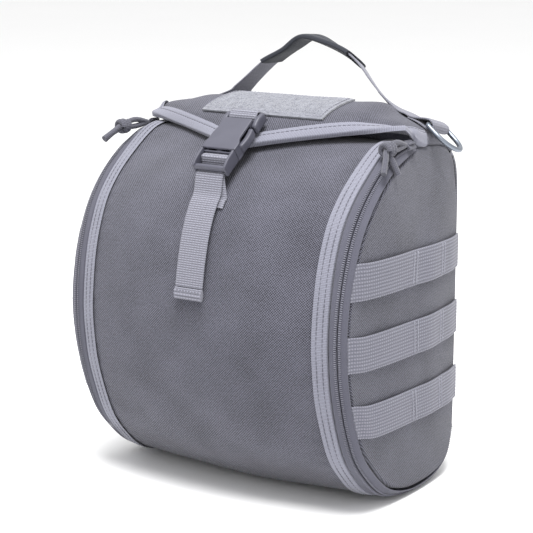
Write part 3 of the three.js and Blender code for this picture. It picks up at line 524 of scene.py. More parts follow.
def seam_rim():
    """The panel's rim from its centre, down the zip seam and up the back seam, and how deep its edge dives.

    The rim is drawn in beside the zip, where the edge dives deeper, and laid over the seam behind."""
    seam = along(profile, np.linspace(0, 1, 161))[:, 2:5]
    behind = along(side_back, np.linspace(0, 1, 81))[1:-1]
    rim = np.concatenate([seam, behind]) - np.array([0, side_centre[1], side_centre[2]])
    inset = np.interp(np.arange(len(rim)), [0, 14, 126, 150, 226, 239],
                      [0, zip_inset, zip_inset, -back_lap, -back_lap, 0])
    share = 1 - inset / np.hypot(rim[:, 1], rim[:, 2])
    return rim * np.stack([np.ones(len(rim)), share, share], -1), 0.8 + np.maximum(inset, 0)


side_rim, side_dive = seam_rim()


def dome(f, rim_x, y, z):
    """How far out the side lies: it bulges as 1 - f squared inside its rim, with soft swells."""
    f = np.minimum(f, 1)
    return rim_x + (side_centre[0] - rim_x) * (1 - f**2) + 0.8 * ripple(y, z) * (1 - f**4)


def side_surface(f, off):
    """The side: rim points drawn to the centre by f, out along the dome, the edge rolled in."""
    rim_x, rim_y, rim_z = side_rim.T
    y = side_centre[1] + rim_y * f
    z = side_centre[2] + rim_z * f
    roll = side_dive * np.clip((f - 0.98) / 0.02, 0, 1) ** 2
    return np.stack([dome(f, rim_x, y, z) - roll - off, y, z], -1)


side_f = np.concatenate([np.linspace(0.02, 0.94, 44), np.linspace(0.95, 1, 11)])[:, None]
side_rings = np.concatenate([side_surface(side_f, 0.0), side_surface(side_f, wall)[::-1]])
side_marks = np.concatenate([side_rings[..., 1:], side_rings[:, :1, 1:]], axis=1)
for hand, parts in both_sides([loft(side_rings, side_marks)]):
    side_cloth = piece(f"side_cloth_{hand}", parts, oxford, [f"side_panel_{hand}"])


# Webbing rows on the sides
# Three level rows of flat nylon webbing on each side, ends caught in the seams, sewn down with
# pairs of dense bar tacks so that the webbing stands off the cloth between them.
web_width = 25.0
web_thick = 1.5
half_thick = web_thick / 2
row_first = 56.4
row_pitch = 50.0
row_tilt = 3.0
rib_width = 2.4
tack_places = (5.8, 48.0)
tack_apart = 4.4
tack_pitch = 0.75
tack_size = (2.0, 0.7, 0.6)


def on_side(y, z):
    """Where a point of the side lies: its share of the way from the centre to the rim, and its x there."""
    angle = np.arctan2(z - side_centre[2], y - side_centre[1])
    rim_angle = np.arctan2(side_rim[:, 2], side_rim[:, 1])
    order = np.argsort(rim_angle)
    reach = np.hypot(side_rim[:, 1], side_rim[:, 2])
    whole, rim_x = (np.interp(angle, rim_angle[order], value[order], period=2 * np.pi)
                    for value in (reach, side_rim[:, 0]))
    share = np.hypot(y - side_centre[1], z - side_centre[2]) / whole
    return share, dome(share, rim_x, y, z)


def seam_crossing(z, way):
    """Where the level z meets the rim: just past it in front (-1), just short of it behind (1)."""
    reach = np.linspace(0, 110, 441)
    share, _ = on_side(side_centre[1] + way * reach[None, :], z[:, None])
    return side_centre[1] + way * reach[np.argmax(share > 1.0 - 0.015 * way, axis=1)]


def row_surface(low, flare, t, across, lift):
    """A webbing row, lifted off the cloth: t runs from the front seam to the back one, across up its width.

    Its front end flares up and tucks in as bell curves; between tacks it bows off as a sine squared."""
    front_z = low + web_width * (across + 0.5) + row_tilt
    z = front_z - row_tilt * t + flare * np.exp(-((t / 0.08) ** 2))
    start = seam_crossing(front_z[0] + flare, -1)
    stop = seam_crossing(front_z[0] - row_tilt, 1)
    y = start + (stop - start) * t
    _, x = on_side(y, z)
    part = np.interp(y, np.concatenate([[-78], tack_places, [86]]), np.arange(4))
    bow = np.array([1.0, 0.7, 0.7])[np.minimum(part.astype(int), 2)] * np.sin(np.pi * part) ** 2
    tuck = 1.4 * np.exp(-(((y - start) / 7) ** 2))
    return np.stack([x + 0.5 + bow - tuck + lift, y, z], -1)


def webbing(name, dark, light, rib_share, yarn_share, pitch):
    """Nylon webbing: a cosine across its ribs, a sine along its yarns and their product where they cross.

    The shares weigh ribs against yarns; noise adds loose fibres."""
    made, tree, shader = new_material(name, 0.82, Sheen_Weight=0.2, Sheen_Roughness=0.45)
    place = add_node(tree, "TexCoord", {})
    split = add_node(tree, "SeparateXYZ", {0: place.outputs["UV"]})
    rib_turn = add_node(tree, "Math", {0: split.outputs["X"], 1: 2 * math.pi / rib_width},
                        operation="MULTIPLY")
    rib = add_node(tree, "Math", {0: rib_turn.outputs[0]}, operation="COSINE")
    yarn_turn = add_node(tree, "Math", {0: split.outputs["Y"], 1: 2 * math.pi / pitch}, operation="MULTIPLY")
    yarn = add_node(tree, "Math", {0: yarn_turn.outputs[0]}, operation="SINE")
    crossing = add_node(tree, "Math", {0: rib.outputs[0], 1: yarn.outputs[0]}, operation="MULTIPLY")
    fibre = add_node(tree, "TexNoise", {"Vector": place.outputs["UV"], "Scale": 0.8, "Detail": 3.0})
    ribs = add_node(tree, "Math", {0: rib.outputs[0], 1: rib_share, 2: fibre.outputs["Fac"]},
                    operation="MULTIPLY_ADD")
    yarns = add_node(tree, "Math", {0: yarn.outputs[0], 1: yarn_share, 2: ribs.outputs[0]},
                     operation="MULTIPLY_ADD")
    height = add_node(tree, "Math", {0: crossing.outputs[0], 1: 0.25, 2: yarns.outputs[0]},
                      operation="MULTIPLY_ADD")
    tone = add_node(tree, "MapRange", {"Value": height.outputs[0], "From Min": -0.2, "From Max": 1.2})
    coat(tree, shader, tone.outputs[0], dark, light, height.outputs[0], 0.5, 0.3)
    return made


# Nylon webbing on the sides: mid grey with a low sheen, ribs 2.4 mm apart. Its yarns, really 1.6 mm
# apart, are drawn at 2.6 mm so that their crossings show.
side_webbing = webbing("nylon_webbing_side", "#454550", "#797985", 0.35, 0.2, 2.6)
# Pale tacking thread: dense zigzag stitches a shade lighter than the webbing.
tack_thread = ribbed_tape("pale_tacking_thread", "#74747f", "#9797a3", 0.9, 0.1)
rows_a_side = sum(node.startswith("web_row_right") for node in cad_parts)
row_t = np.linspace(0, 1, 141)[:, None]
row_across = np.linspace(-0.5, 0.5, 77)[None, :]
row_edge = 1 - 0.55 * np.abs(2 * row_across) ** 14
row_rib = 0.1 * np.cos(2 * np.pi * row_across * web_width / rib_width)
for index in range(rows_a_side):
    row_place = (row_first + index * row_pitch, 2.8 - index, row_t, row_across)
    row_top = row_surface(*row_place, half_thick + (half_thick + row_rib) * row_edge)
    row_under = row_surface(*row_place, half_thick - half_thick * row_edge)
    row_parts = [loft(walled(row_top, row_under), wall_marks(row_across * web_width, row_top[..., 1]))]
    for tack_y in tack_places:
        for shift in (-tack_apart / 2, tack_apart / 2):
            column = np.abs(row_top[:, 38, 1] - tack_y - shift).argmin()
            _, place, ahead = spaced(row_top[column, 4:-4] + np.array([0.15, 0, 0]), tack_pitch)
            over = np.tile([0.0, 1.0, 0.0], (len(place), 1))
            row_parts.append(repeated(spindle(*tack_size), place, over, np.cross(over, ahead)))
    for hand, parts in both_sides(row_parts):
        row = f"{hand}_{index + 1}"
        piece(f"web_row_{row}_weave", parts[:1], side_webbing, [f"web_row_{row}"])
        piece(f"web_tacks_{row}", parts[1:], tack_thread)


# Back panel
# Flat padded cloth that carries the bag against a wall or a back, its border rolled forward into
# the seams, with one plain row of stitches inside the border.
back_turn = np.linspace(0, 2 * np.pi, 320, endpoint=False)
back_cos = np.cos(back_turn)
back_sin = np.sin(back_turn)
back_middle = 139.5
back_seam = 0.9


def back_surface(f, off):
    """A squared oval drawn to its middle by f; the border rolls forward, more at the sides."""
    x = 111 * np.sign(back_cos) * np.abs(back_cos) ** 0.2 * f
    z = back_middle + 109.5 * np.sign(back_sin) * np.abs(back_sin) ** 0.2 * f
    roll = (5 + 4.4 * back_cos**2) * np.clip((f - 0.88) / 0.12, 0, 1) ** 2
    groove = 0.8 * np.exp(-(((f - back_seam) / 0.008) ** 2))
    swell = 0.5 * (ripple(x, z) - 1) * np.clip(1 - f**6, 0, 1)
    return np.stack([x, 97.8 - roll - groove + swell - off, z], -1)


back_f = np.concatenate([np.linspace(0.02, 0.86, 48), np.linspace(0.868, 1, 34)])[:, None]
back_rings = np.concatenate([back_surface(back_f, 0.0), back_surface(back_f, wall)[::-1]])
back_marks = np.concatenate([back_rings[..., [0, 2]], back_rings[:, :1, [0, 2]]], axis=1)
back_cloth = piece("back_cloth", [loft(back_rings, back_marks)], oxford, ["back_panel"])
back_line = back_surface(back_seam, -0.2)
back_line = np.concatenate([back_line, back_line[:1]])
back_up = np.tile([0.0, 1.0, 0.0], (len(back_line), 1))
piece("back_stitches", [stitched(back_line, back_up)], thread)


# Top flap
# Roof and flap in one cloth, from the back seam over the ridge to a free front edge that comes to a
# shallow point over the buckle; its sides fold down over the shoulders.
# Rows from the back to the front: middle y and z, side x and y, right z and left z, how squarely it
# rounds over, how late its sides sweep back, and how far the handle lifts it on the right.
roof_rows = np.array([
    [93.5, 252, 108.5, 84, 243, 243, 2.1, 3, 0],
    [74, 269, 111, 67, 249.5, 249.5, 2.1, 3, 1.2],
    [44, 278.2, 111, 38, 253, 253, 2.5, 3, 4],
    [14, 276, 111, 26, 257, 264, 2.9, 3, 2.6],
    [-11, 270.5, 110, 18, 262.5, 264, 1.8, 2.2, 0.8],
    [-39, 251.5, 109.5, 10, 267.5, 263, 0.87, 1, 0],
])
flap_thick = 2.2


def roof_row(row, u):
    """One row of the roof: from its middle point down to its side as a rounded arch, swept back.

    It climbs to a ridge as a power of u and falls off it in a smooth step, half as high on the left."""
    mid_y, mid_z, side_x, side_y, right_z, left_z, round_off, sweep, ridge = row
    s = np.minimum(np.abs(u), 1)
    drop = 1 - (1 - s**round_off) ** (1 / round_off)
    climb = np.clip((s - 0.15) / 0.5, 0, 1) ** 1.5
    fall = np.clip((s - 0.65) / 0.13, 0, 1)
    stand = np.where(u > 0, ridge, ridge / 2) * climb * (1 - fall * fall * (3 - 2 * fall))
    z = mid_z + (np.where(u > 0, right_z, left_z) - mid_z) * drop + stand
    return np.stack([u * side_x, mid_y + (side_y - mid_y) * s**sweep, z], -1)


def roof(u, v):
    """The roof: its rows joined by the same smooth curve, u across from -1 to 1, v from back to front."""
    u, v = np.broadcast_arrays(u, v)
    weights = along(np.eye(len(roof_rows)), v)
    return sum(weights[..., k, None] * roof_row(row, u) for k, row in enumerate(roof_rows))


def roof_over(u, v, lift):
    """A point lifted off the roof along its normal, found from small steps across and down."""
    u, v = np.broadcast_arrays(u, v)
    in_u = np.clip(u, -0.985, 0.985)
    in_v = np.clip(v, 0.01, 0.99)
    across = roof(in_u + 0.01, in_v) - roof(in_u - 0.01, in_v)
    down = roof(in_u, in_v + 0.01) - roof(in_u, in_v - 0.01)
    return roof(u, v) + unit(np.cross(down, across)) * np.asarray(lift)[..., None]


def lengths_along(points, axis):
    """How far each point of a grid lies from the middle of its own row (axis 1) or column (axis 0)."""
    steps = np.linalg.norm(np.diff(points, axis=axis), axis=-1)
    run = np.insert(np.cumsum(steps, axis=axis), 0, 0.0, axis=axis)
    return run - np.take(run, [points.shape[axis] // 2], axis=axis)


flap_t = np.linspace(-1, 1, 131)
flap_u = (np.sign(flap_t) * (1 - (1 - np.abs(flap_t)) ** 1.5))[None, :]
flap_v = np.linspace(0, 1, 101)[:, None]
flap_mid = roof(flap_u, flap_v)
flap_free = (1 - flap_u**6) * np.sin(np.pi * flap_v) ** 0.5
flap_swell = 0.45 * ripple(flap_mid[..., 0], flap_mid[..., 1] * 1.4) * flap_free
flap_swell += 2.2 * np.exp(-(((flap_u - 0.65) / 0.13) ** 2) - ((flap_v - 0.3) / 0.2) ** 2)
flap_layers = walled(*(roof_over(flap_u, flap_v, flap_swell - depth) for depth in (0.2, flap_thick)))
flap_marks = wall_marks(lengths_along(flap_mid, 1), lengths_along(flap_mid, 0))
flap_cloth = piece("flap_cloth", [loft(flap_layers, flap_marks)], oxford, ["top_flap"])


# Collar and back welt
# A plain collar of the same cloth joins the top edge of the front, and the front of the sides' top edges,
# to the underside of the flap; a short strip does the same behind each shoulder. A plain welt joins the
# back panel's border to the sides, roof and bottom.
collar_v = 0.66
collar_lift = -flap_thick - 0.8
collar_thick = 1.2
collar_half = 108.0
collar_sewn = 103.0
collar_roof_half = 110.0
collar_x = np.linspace(-collar_half, collar_half, 81)
collar_low = front(0.004, np.clip(collar_x, -collar_sewn, collar_sewn), -wall)
collar_low[:, 0] = collar_x
gusset_t = np.linspace(0, 1, 13)[1:]
gusset_low = along(np.stack([collar_low[-1], [110.3, 27, 250.4], [110, 45, 249.6]]), gusset_t)
gusset_right, gusset_left = (roof_over(u, collar_v - 0.2 * gusset_t, collar_lift) for u in (0.97, -0.97))
collar_low = np.concatenate([mirrored(gusset_low)[::-1], collar_low, gusset_low])
collar_roof = roof_over(collar_x / collar_roof_half, collar_v, collar_lift)
collar_high = np.concatenate([gusset_left[::-1], collar_roof, gusset_right])
collar_share = np.linspace(0, 1, 15)[:, None]
collar_outer = collar_low + (collar_high - collar_low) * collar_share[..., None]
collar_middle = np.array([0.0, 60.0, 250.0])
collar_inner = collar_outer + collar_thick * unit(collar_middle - collar_outer)
collar_marks = wall_marks(run_length(collar_low)[None, :], 30 * collar_share)
collar_parts = [loft(walled(collar_outer, collar_inner), collar_marks)]
strip_share = np.linspace(0, 1, 5)[:, None]
for way in (1, -1):
    strip_low = along(side_back, np.linspace(0.58, 0.95, 25)) - np.array([1.0, 0, 0])
    strip_low *= np.array([way, 1, 1])
    strip_high = roof_over(way * 0.985, np.linspace(0, 0.36, 25), -flap_thick)
    strip_outer = strip_low + (strip_high - strip_low) * strip_share[..., None]
    strip_inner = strip_outer - np.array([way * collar_thick, 0, 0])
    strip_marks = wall_marks(run_length(strip_low)[None, :], 8 * strip_share)
    collar_parts.append(loft(walled(strip_outer, strip_inner), strip_marks))
piece("collar_cloth", collar_parts, oxford)

welt_side = along(side_back, np.linspace(0, 0.66, 60))
welt_roof = roof(np.linspace(1, -1, 81), 0.0)
welt_foot = front(1.0, np.linspace(-panel_half, panel_half, 81), 0.0)
welt_corner = band(0.985, np.linspace(0, 1, 7), -1.2)
welt_seam = np.concatenate([
    welt_side, welt_roof, mirrored(welt_side)[::-1], mirrored(welt_corner), welt_foot, welt_corner])
welt_centre = np.array([0.0, 0.0, back_middle])


def welt_angle(points):
    """The angle of points about the middle of the back, in the x-z plane."""
    return np.arctan2(points[:, 2] - welt_centre[2], points[:, 0])


welt_in = back_surface(0.985, 0.6)
welt_seam = welt_seam[np.argsort(welt_angle(welt_seam))]
welt_out = np.stack([
    np.interp(welt_angle(welt_in), welt_angle(welt_seam), column, period=2 * np.pi)
    for column in welt_seam.T], -1)
welt_out -= unit((welt_out - welt_centre) * np.array([1, 0, 1])) + np.array([0, 1, 0])
welt_top = welt_in + (welt_out - welt_in) * np.linspace(0, 1, 7)[:, None, None]
welt_rings = np.concatenate([welt_top, welt_top[::-1] - np.array([0, collar_thick, 0])])
welt_flat = np.concatenate([welt_rings, welt_rings[:1]])[..., [0, 2]]
welt_marks = np.concatenate([welt_flat, welt_flat[:, :1]], axis=1)
piece("back_welt", [loft(welt_rings, welt_marks, closed=True)], oxford)


# Flap binding
# The same pale tape folded over the flap's free edge: up one side, along the pointed front and down
# the other side, with one row of stitches.
trim_width = 8.6
trim_row = 0.32
trim_gap = 0.7
trim_high = trim_gap + tape
trim_start = 0.4


def first_past(choices, far):
    """For each row, the first choice that lies a tape's width or more away."""
    return choices[0, np.argmax(far >= trim_width, axis=1)]


def inset_v(u):
    """The row that lies one tape width behind the front edge, at each u."""
    rows = np.linspace(1, 0.3, 400)[None, :]
    return first_past(rows, np.linalg.norm(roof(u[:, None], rows) - roof(u, 1.0)[:, None], axis=-1))


def inset_u(v):
    """The column that lies one tape width in from the side edge, at each v."""
    columns = np.linspace(1, 0.6, 400)[None, :]
    return first_past(columns, np.linalg.norm(roof(columns, v[:, None]) - roof(1.0, v)[:, None], axis=-1))


corner_u = inset_u(np.ones(1))[0]
corner_v = inset_v(np.ones(1))[0]
side_v = np.linspace(trim_start, 1, 64)[:-1]
front_t = np.linspace(-1, 1, 181)
front_edge_u = np.sign(front_t) * (1 - (1 - np.abs(front_t)) ** 1.4)
side_in_v = np.minimum(side_v, corner_v)
side_in_u = inset_u(side_in_v)
front_in_u = np.clip(front_edge_u, -corner_u, corner_u)
trim_u = np.concatenate([-np.ones(63), front_edge_u, np.ones(63)])[:, None]
trim_v = np.concatenate([side_v, np.ones(181), side_v[::-1]])[:, None]
trim_in_u = np.concatenate([-side_in_u, front_in_u, side_in_u[::-1]])[:, None]
trim_in_v = np.concatenate([side_in_v, inset_v(front_in_u), side_in_v[::-1]])[:, None]
trim_out = unit(roof(trim_u, trim_v) - roof(trim_in_u, trim_in_v))


def trim_top(q, lift):
    """A point of the tape, q from its inner edge to the flap's rim."""
    return roof_over(trim_in_u + (trim_u - trim_in_u) * q, trim_in_v + (trim_v - trim_in_v) * q, lift)


def trim_rim(lift, reach):
    """A point of the fold round the rim: lifted off the flap's edge and moved out past it."""
    lift, reach = np.broadcast_arrays(lift, reach)
    return roof_over(trim_u, trim_v, lift[None, :]) + trim_out * reach[None, :, None]


trim_q = np.linspace(0, 1, 23)[None, :]
trim_turn = np.linspace(0, np.pi / 2, 7)[1:]
trim_rings = np.concatenate([
    trim_top(trim_q, trim_high + tape_height(trim_q, [trim_row])),
    trim_rim(trim_high * np.cos(trim_turn), 0.3 + (trim_high - 0.3) * np.sin(trim_turn)),
    trim_rim(np.linspace(-0.5, -flap_thick, 5), trim_high),
    trim_rim(np.linspace(-flap_thick, trim_gap, 4), trim_gap),
    trim_top(trim_q[:, ::-1][:, 1:-4:3], trim_gap),
], axis=1)
trim_span = np.linspace(0, 30, trim_rings.shape[1] + 1)
trim_marks = grid(trim_span[None, :], run_length(trim_rings[:, 22])[:, None])
piece("flap_tape", [loft(trim_rings, trim_marks)], grosgrain, ["flap_binding"])
trim_seam = trim_high + tape_height(trim_row, [trim_row])
trim_line = trim_top(trim_row, trim_seam + 0.1)[:, 0]
trim_up = unit(trim_top(trim_row, trim_seam + 1.1)[:, 0] - trim_line)
piece("flap_stitches", [stitched(trim_line, trim_up)], thread)


# Loop patch
# A wide strip of fuzzy nylon loop pile sewn on top of the flap, pale and uneven, its edges cut
# straight and held by one row of stitches.
patch_half = 52.0
patch_thick = 2.0
patch_from = 0.43
patch_reach = 0.37
patch_rng = np.random.default_rng(5)


def roof_half(v):
    """Half the roof's width at v."""
    return along(roof_rows, v)[..., 2]


def on_patch(s, t, lift):
    """A point of the patch, s from its back to its front and t across it, lifted off the roof."""
    v = patch_from + patch_reach * s
    return roof_over(patch_half * t / roof_half(v), v, lift)


patch_s = np.linspace(0, 1, 121)[:, None]
patch_t = np.linspace(-1, 1, 201)[None, :]
patch_inside = np.minimum(1, 12 * np.minimum(1 - np.abs(patch_t), 1.4 * np.minimum(patch_s, 1 - patch_s)))
patch_pile = patch_rng.random((121, 201)) * 0.75 * patch_inside
patch_top = on_patch(patch_s, patch_t, gap + patch_thick - 0.7 + 0.5 * patch_inside + patch_pile)
patch_under = on_patch(patch_s, patch_t, gap)


def pile(name, dark, light):
    """Loop pile: fine noise for the loops and slow noise where the pile lies over."""
    made, tree, shader = new_material(name, 1.0, Sheen_Weight=0.5, Sheen_Roughness=0.6)
    place = add_node(tree, "TexCoord", {})
    loops = add_node(tree, "TexNoise", {
        "Vector": place.outputs["UV"], "Scale": 0.85, "Detail": 5.0, "Roughness": 0.7})
    brushed = add_node(tree, "TexNoise", {"Vector": place.outputs["UV"], "Scale": 0.2, "Detail": 3.0})
    height = add_node(tree, "Math", {0: brushed.outputs["Fac"], 1: 0.9, 2: loops.outputs["Fac"]},
                      operation="MULTIPLY_ADD")
    tone = add_node(tree, "MapRange", {"Value": height.outputs[0], "From Min": 0.65, "From Max": 1.25})
    coat(tree, shader, tone.outputs[0], dark, light, loops.outputs["Fac"], 0.8, 0.8)
    return made


# Nylon loop pile: a pale mat of loops about 1 mm across that breaks up every highlight.
loop_pile = pile("nylon_loop_pile", "#4d4e58", "#7f818b")
patch_run = run_length(on_patch(patch_s[:, 0], 0.0, 0.0))
patch_marks = wall_marks(patch_half * patch_t, patch_run[:, None])
piece("loop_pile", [loft(walled(patch_top, patch_under), patch_marks)], loop_pile, ["loop_patch"])
patch_corners = np.array([[0.07, -0.955], [0.93, -0.955], [0.93, 0.955], [0.07, 0.955], [0.07, -0.955]])
patch_seam = np.concatenate([
    np.linspace(a, b, 50)[:-1] for a, b in zip(patch_corners[:-1], patch_corners[1:])])
patch_line = on_patch(*patch_seam.T, gap + patch_thick + 0.25)
patch_up = unit(patch_line - on_patch(*patch_seam.T, 0.0))
piece("patch_stitches", [stitched(patch_line, patch_up, 3.0, 2.2, 0.8)], tack_thread)


# Buckle
# A side-release buckle moulded in grey acetal, fastened: the female half on the flap, the male half
# pushed into it, its two press tabs showing in the cut-away sides.
lean = math.radians(36)
buckle_top = np.array([0, -23.0, 273.0])
buckle_axes = np.array([
    [1, 0, 0],
    [0, -math.cos(lean), -math.sin(lean)],
    [0, -math.sin(lean), math.cos(lean)],
])


def on_buckle(x, run, rise):
    """A point in the buckle's own axes: x across, run along it from the top, rise off its back."""
    return buckle_top + np.stack(np.broadcast_arrays(x, run, rise), -1) @ buckle_axes


def moulded(place, start, end, wide, low, top, middle=0.0, bevel=0.8, square=7):
    """A moulded bar: rounded rectangles along run from start to end, drawn in at both ends by the bevel.

    wide, low, top and middle are numbers or functions of run; place puts x, run and rise in the bag."""
    turn = np.linspace(0, np.pi / 2, 5)
    nose = bevel * (1 - np.cos(turn))
    at = np.concatenate([start + nose, np.linspace(start + bevel, end - bevel, 18)[1:-1], end - nose[::-1]])
    draw = bevel * (1 - np.sin(turn))
    pinch = np.concatenate([draw, np.zeros(16), draw[::-1]])
    wide, low, top, middle = (
        size(at) if callable(size) else np.full(len(at), size) for size in (wide, low, top, middle))
    angle = np.linspace(0, 2 * np.pi, 40, endpoint=False) + np.pi / 40
    cos_part, sin_part = (
        np.sign(part) * np.abs(part) ** (2 / square) for part in (np.cos(angle), np.sin(angle)))
    x = middle[:, None] + (wide - pinch)[:, None] * cos_part
    rise = ((low + top) / 2)[:, None] + ((top - low) / 2 - pinch)[:, None] * sin_part
    return loft(place(x, at[:, None], rise), grid(np.linspace(0, 40, 41)[None, :], at[:, None]))


def waist(run):
    """Half the width of the female's plates: narrow beside the tabs, widening smoothly to the mouth."""
    widen = np.clip((run - 29) / 7, 0, 1)
    return 11.9 + 2.3 * widen * widen * (3 - 2 * widen)


def ear_top(run):
    """The top of the female's ears beside the strap: rounded, lower than the plate."""
    return 2.4 + 1.4 * np.sin(np.pi * np.clip(run / 15, 0, 1))


def moulded_plastic(name, dark, light, roughness):
    """Moulded acetal: fine spark-eroded grain from noise, a hint of cloudiness, soft gloss."""
    made, tree, shader = new_material(name, roughness, IOR=1.48)
    place = add_node(tree, "TexCoord", {})
    grain = add_node(tree, "TexNoise", {"Vector": place.outputs["Object"], "Scale": 2200.0, "Detail": 2.0})
    cloud = add_node(tree, "TexNoise", {"Vector": place.outputs["Object"], "Scale": 90.0, "Detail": 2.0})
    coat(tree, shader, cloud.outputs["Fac"], dark, light, grain.outputs["Fac"], 0.25, 0.2)
    return made


# Moulded acetal: blue-grey, satin, with a 0.4 mm grain.
acetal = moulded_plastic("moulded_acetal", "#42424d", "#4f4f5a", 0.45)
female_parts = [
    moulded(on_buckle, 10, 41.5, waist, 3.5, 5.5, bevel=0.7, square=14),
    moulded(on_buckle, 10, 41.5, waist, -5.5, -3.5, bevel=0.7, square=14),
    moulded(on_buckle, 10.3, 15.5, 11.6, -3.6, 3.6, bevel=0.4, square=14),
]
for way in (-1, 1):
    female_parts += [
        moulded(on_buckle, 0, 15, 2.0, -4.6, ear_top, middle=way * 13.7, bevel=1.6, square=4),
        moulded(on_buckle, 35, 41.5, 1.0, -5.4, 5.4, middle=way * 13.1, bevel=0.5),
    ]
bar_x = np.linspace(-14, 14, 9)[:, None]
bar_turn = np.linspace(0, 2 * np.pi, 16, endpoint=False)[None, :]
female_parts.append(loft(on_buckle(bar_x, 4 + 1.5 * np.cos(bar_turn), 1.5 * np.sin(bar_turn))))
piece("buckle_receiver", female_parts, acetal, ["buckle_female"])


def rail_top(run):
    """The top of the male's side rails: level at the mouth, sloping down to the end bar."""
    return 5.4 - 2.0 * np.clip((run - 47) / 11, 0, 1) ** 2


def tab_ridges(run):
    """Half the width of a press tab, with shallow grip ridges."""
    return 1.9 + 0.14 * np.cos(2 * np.pi * run / 1.9)


male_parts = [
    moulded(on_buckle, 41.85, 43.2, 14.1, -5.4, 3.0, bevel=0.5, square=12),
    moulded(on_buckle, 46.1, 48.4, 12.9, -1.4, 1.4, bevel=0.9),
    moulded(on_buckle, 54.8, 58.3, 13.6, -1.6, 2.8, bevel=1.4, square=5),
    moulded(on_buckle, 21, 42.4, 2.2, -3.0, 3.0, bevel=0.6),
]
for way in (-1, 1):
    male_parts += [
        moulded(on_buckle, 41.85, 58.3, 1.05, -5.0, rail_top, middle=way * 13.15, bevel=0.8),
        moulded(on_buckle, 16.4, 35.4, tab_ridges, -4.0, 2.6, bevel=1.5, square=5,
                middle=lambda run, way=way: way * (12.9 + 1.5 * np.sin(np.pi * (run - 16) / 20))),
        moulded(on_buckle, 33, 42.4, 1.5, -3.0, 3.0, middle=way * 10.3, bevel=0.6),
    ]
piece("buckle_tongue", male_parts, acetal, ["buckle_male"])


# Buckle straps
# Two lengths of 23 mm webbing: a short one sewn to the flap and folded round the female's bar, and a
# long one sewn to the front, threaded through the male half and hanging free to a folded, sewn hem.
strap_width = 23.0
strap_rib = 0.05


def ribbon(path, side, width):
    """Webbing: a flat ribbed section, edges rounded, carried along a path with its width along side."""
    up = unit(np.cross(side, np.gradient(path, axis=0)))
    t = np.linspace(-1, 1, 77)
    edge = 1 - 0.55 * np.abs(t) ** 14
    high = (half_thick + strap_rib * np.cos(np.pi * t * width / rib_width)) * edge
    over = np.concatenate([t, t[::-1]]) * width / 2
    rise = np.concatenate([high, -high[::-1]])
    rings = path[:, None] + side[:, None] * over[None, :, None] + up[:, None] * rise[None, :, None]
    return loft(rings, grid(np.append(over, over[0])[None, :], run_length(path)[:, None]))


def smooth_path(stations, count):
    """A smooth line through stations, evenly spaced: the Catmull-Rom curve measured off along its length."""
    fine = along(stations, np.linspace(0, 1, 40 * len(stations)))
    run = run_length(fine[:, :3])
    return at_run(fine, run, np.linspace(0, run[-1], count))


def level_strap(stations, count):
    """A buckle strap through stations, its width square across the bag."""
    path = smooth_path(stations, count)
    return ribbon(path, np.tile([1.0, 0.0, 0.0], (count, 1)), strap_width)


# Nylon webbing of the straps: paler than the side rows, its crosswise yarns 1.6 mm apart.
strap_webbing = webbing("nylon_webbing_strap", "#4a4a53", "#898995", 0.08, 0.5, 1.6)
half_turn = np.linspace(0, np.pi, 9)
bar_wrap = 1.5 * math.sqrt(2) + 0.35 + half_thick
patch_foot = roof_over(0.0, 0.82, gap + half_thick)
patch_lip = roof_over(0.0, 0.816, gap + web_thick * 1.5 + 0.4)
upper_strap = level_strap(np.vstack([
    patch_foot,
    patch_foot + np.array([0, -5, -1.2]),
    on_buckle(0, 3.0, -bar_wrap),
    on_buckle(0, 4 + bar_wrap * np.sin(half_turn), -bar_wrap * np.cos(half_turn)),
    on_buckle(0, 1.0, bar_wrap + 0.2),
    patch_lip + np.array([0, -3, 0.9]),
    patch_lip,
]), 90)
piece("upper_strap", [upper_strap], strap_webbing, ["buckle_strap_upper"])

under_end = -1.6 - 0.35 - half_thick
under_sewn = under_end - web_thick - 0.4
over_bar = 1.4 + 0.35 + half_thick
sewn_shift = 3.6
tail_share = np.linspace(0, 1, 9)
lower_strap = level_strap(np.vstack([
    front(np.linspace(0.293, 0.276, 4), sewn_shift, gap + half_thick),
    on_buckle(0, np.array([59.0, 53.6, 48.4]), np.array([under_sewn, under_sewn, -over_bar - 0.6])),
    on_buckle(0, 46.7 - over_bar * np.sin(half_turn[::2]), -over_bar * np.cos(half_turn[::2])),
    on_buckle(0, np.array([48.0, 49.6, 51.6, 57.0, 61.0]),
              np.array([over_bar, 0.0, under_end, under_end, under_end - 0.9])),
    front(0.276 + 0.1165 * tail_share, 0.0, gap + web_thick * 1.5 + 1.2 * (1 - tail_share)),
]), 260)
piece("lower_strap", [lower_strap], strap_webbing, ["buckle_strap_lower"])

hem_u = 0.4
hem_lift = 2.6
hem_high = 1.7
hem_turn = np.linspace(0, 2 * np.pi, 24, endpoint=False)[None, :]
hem_x = np.linspace(-strap_width / 2, strap_width / 2, 41)[:, None]
hem_rib = strap_rib * np.cos(2 * np.pi * hem_x / rib_width)
hem_rings = front(hem_u + 0.0068 * np.cos(hem_turn), 0.0, hem_lift + (hem_high + hem_rib) * np.sin(hem_turn))
hem_rings[..., 0] = hem_x
hem_fold = loft(hem_rings, grid(hem_x, np.linspace(0, 16, 25)[None, :]))
piece("strap_hem_fold", [hem_fold], strap_webbing, ["strap_hem"])
hem_parts = []
for seam_u in (hem_u - 0.003, hem_u + 0.003):
    hem_line = np.tile(front(seam_u, 0.0, hem_lift + 0.87 * hem_high), (37, 1))
    hem_line[:, 0] = hem_x[2:-2, 0]
    hem_parts.append(stitched(hem_line, np.tile(outward(seam_u), (37, 1)), 2.6, 2.0, 0.7))
piece("hem_stitches", hem_parts, thread)


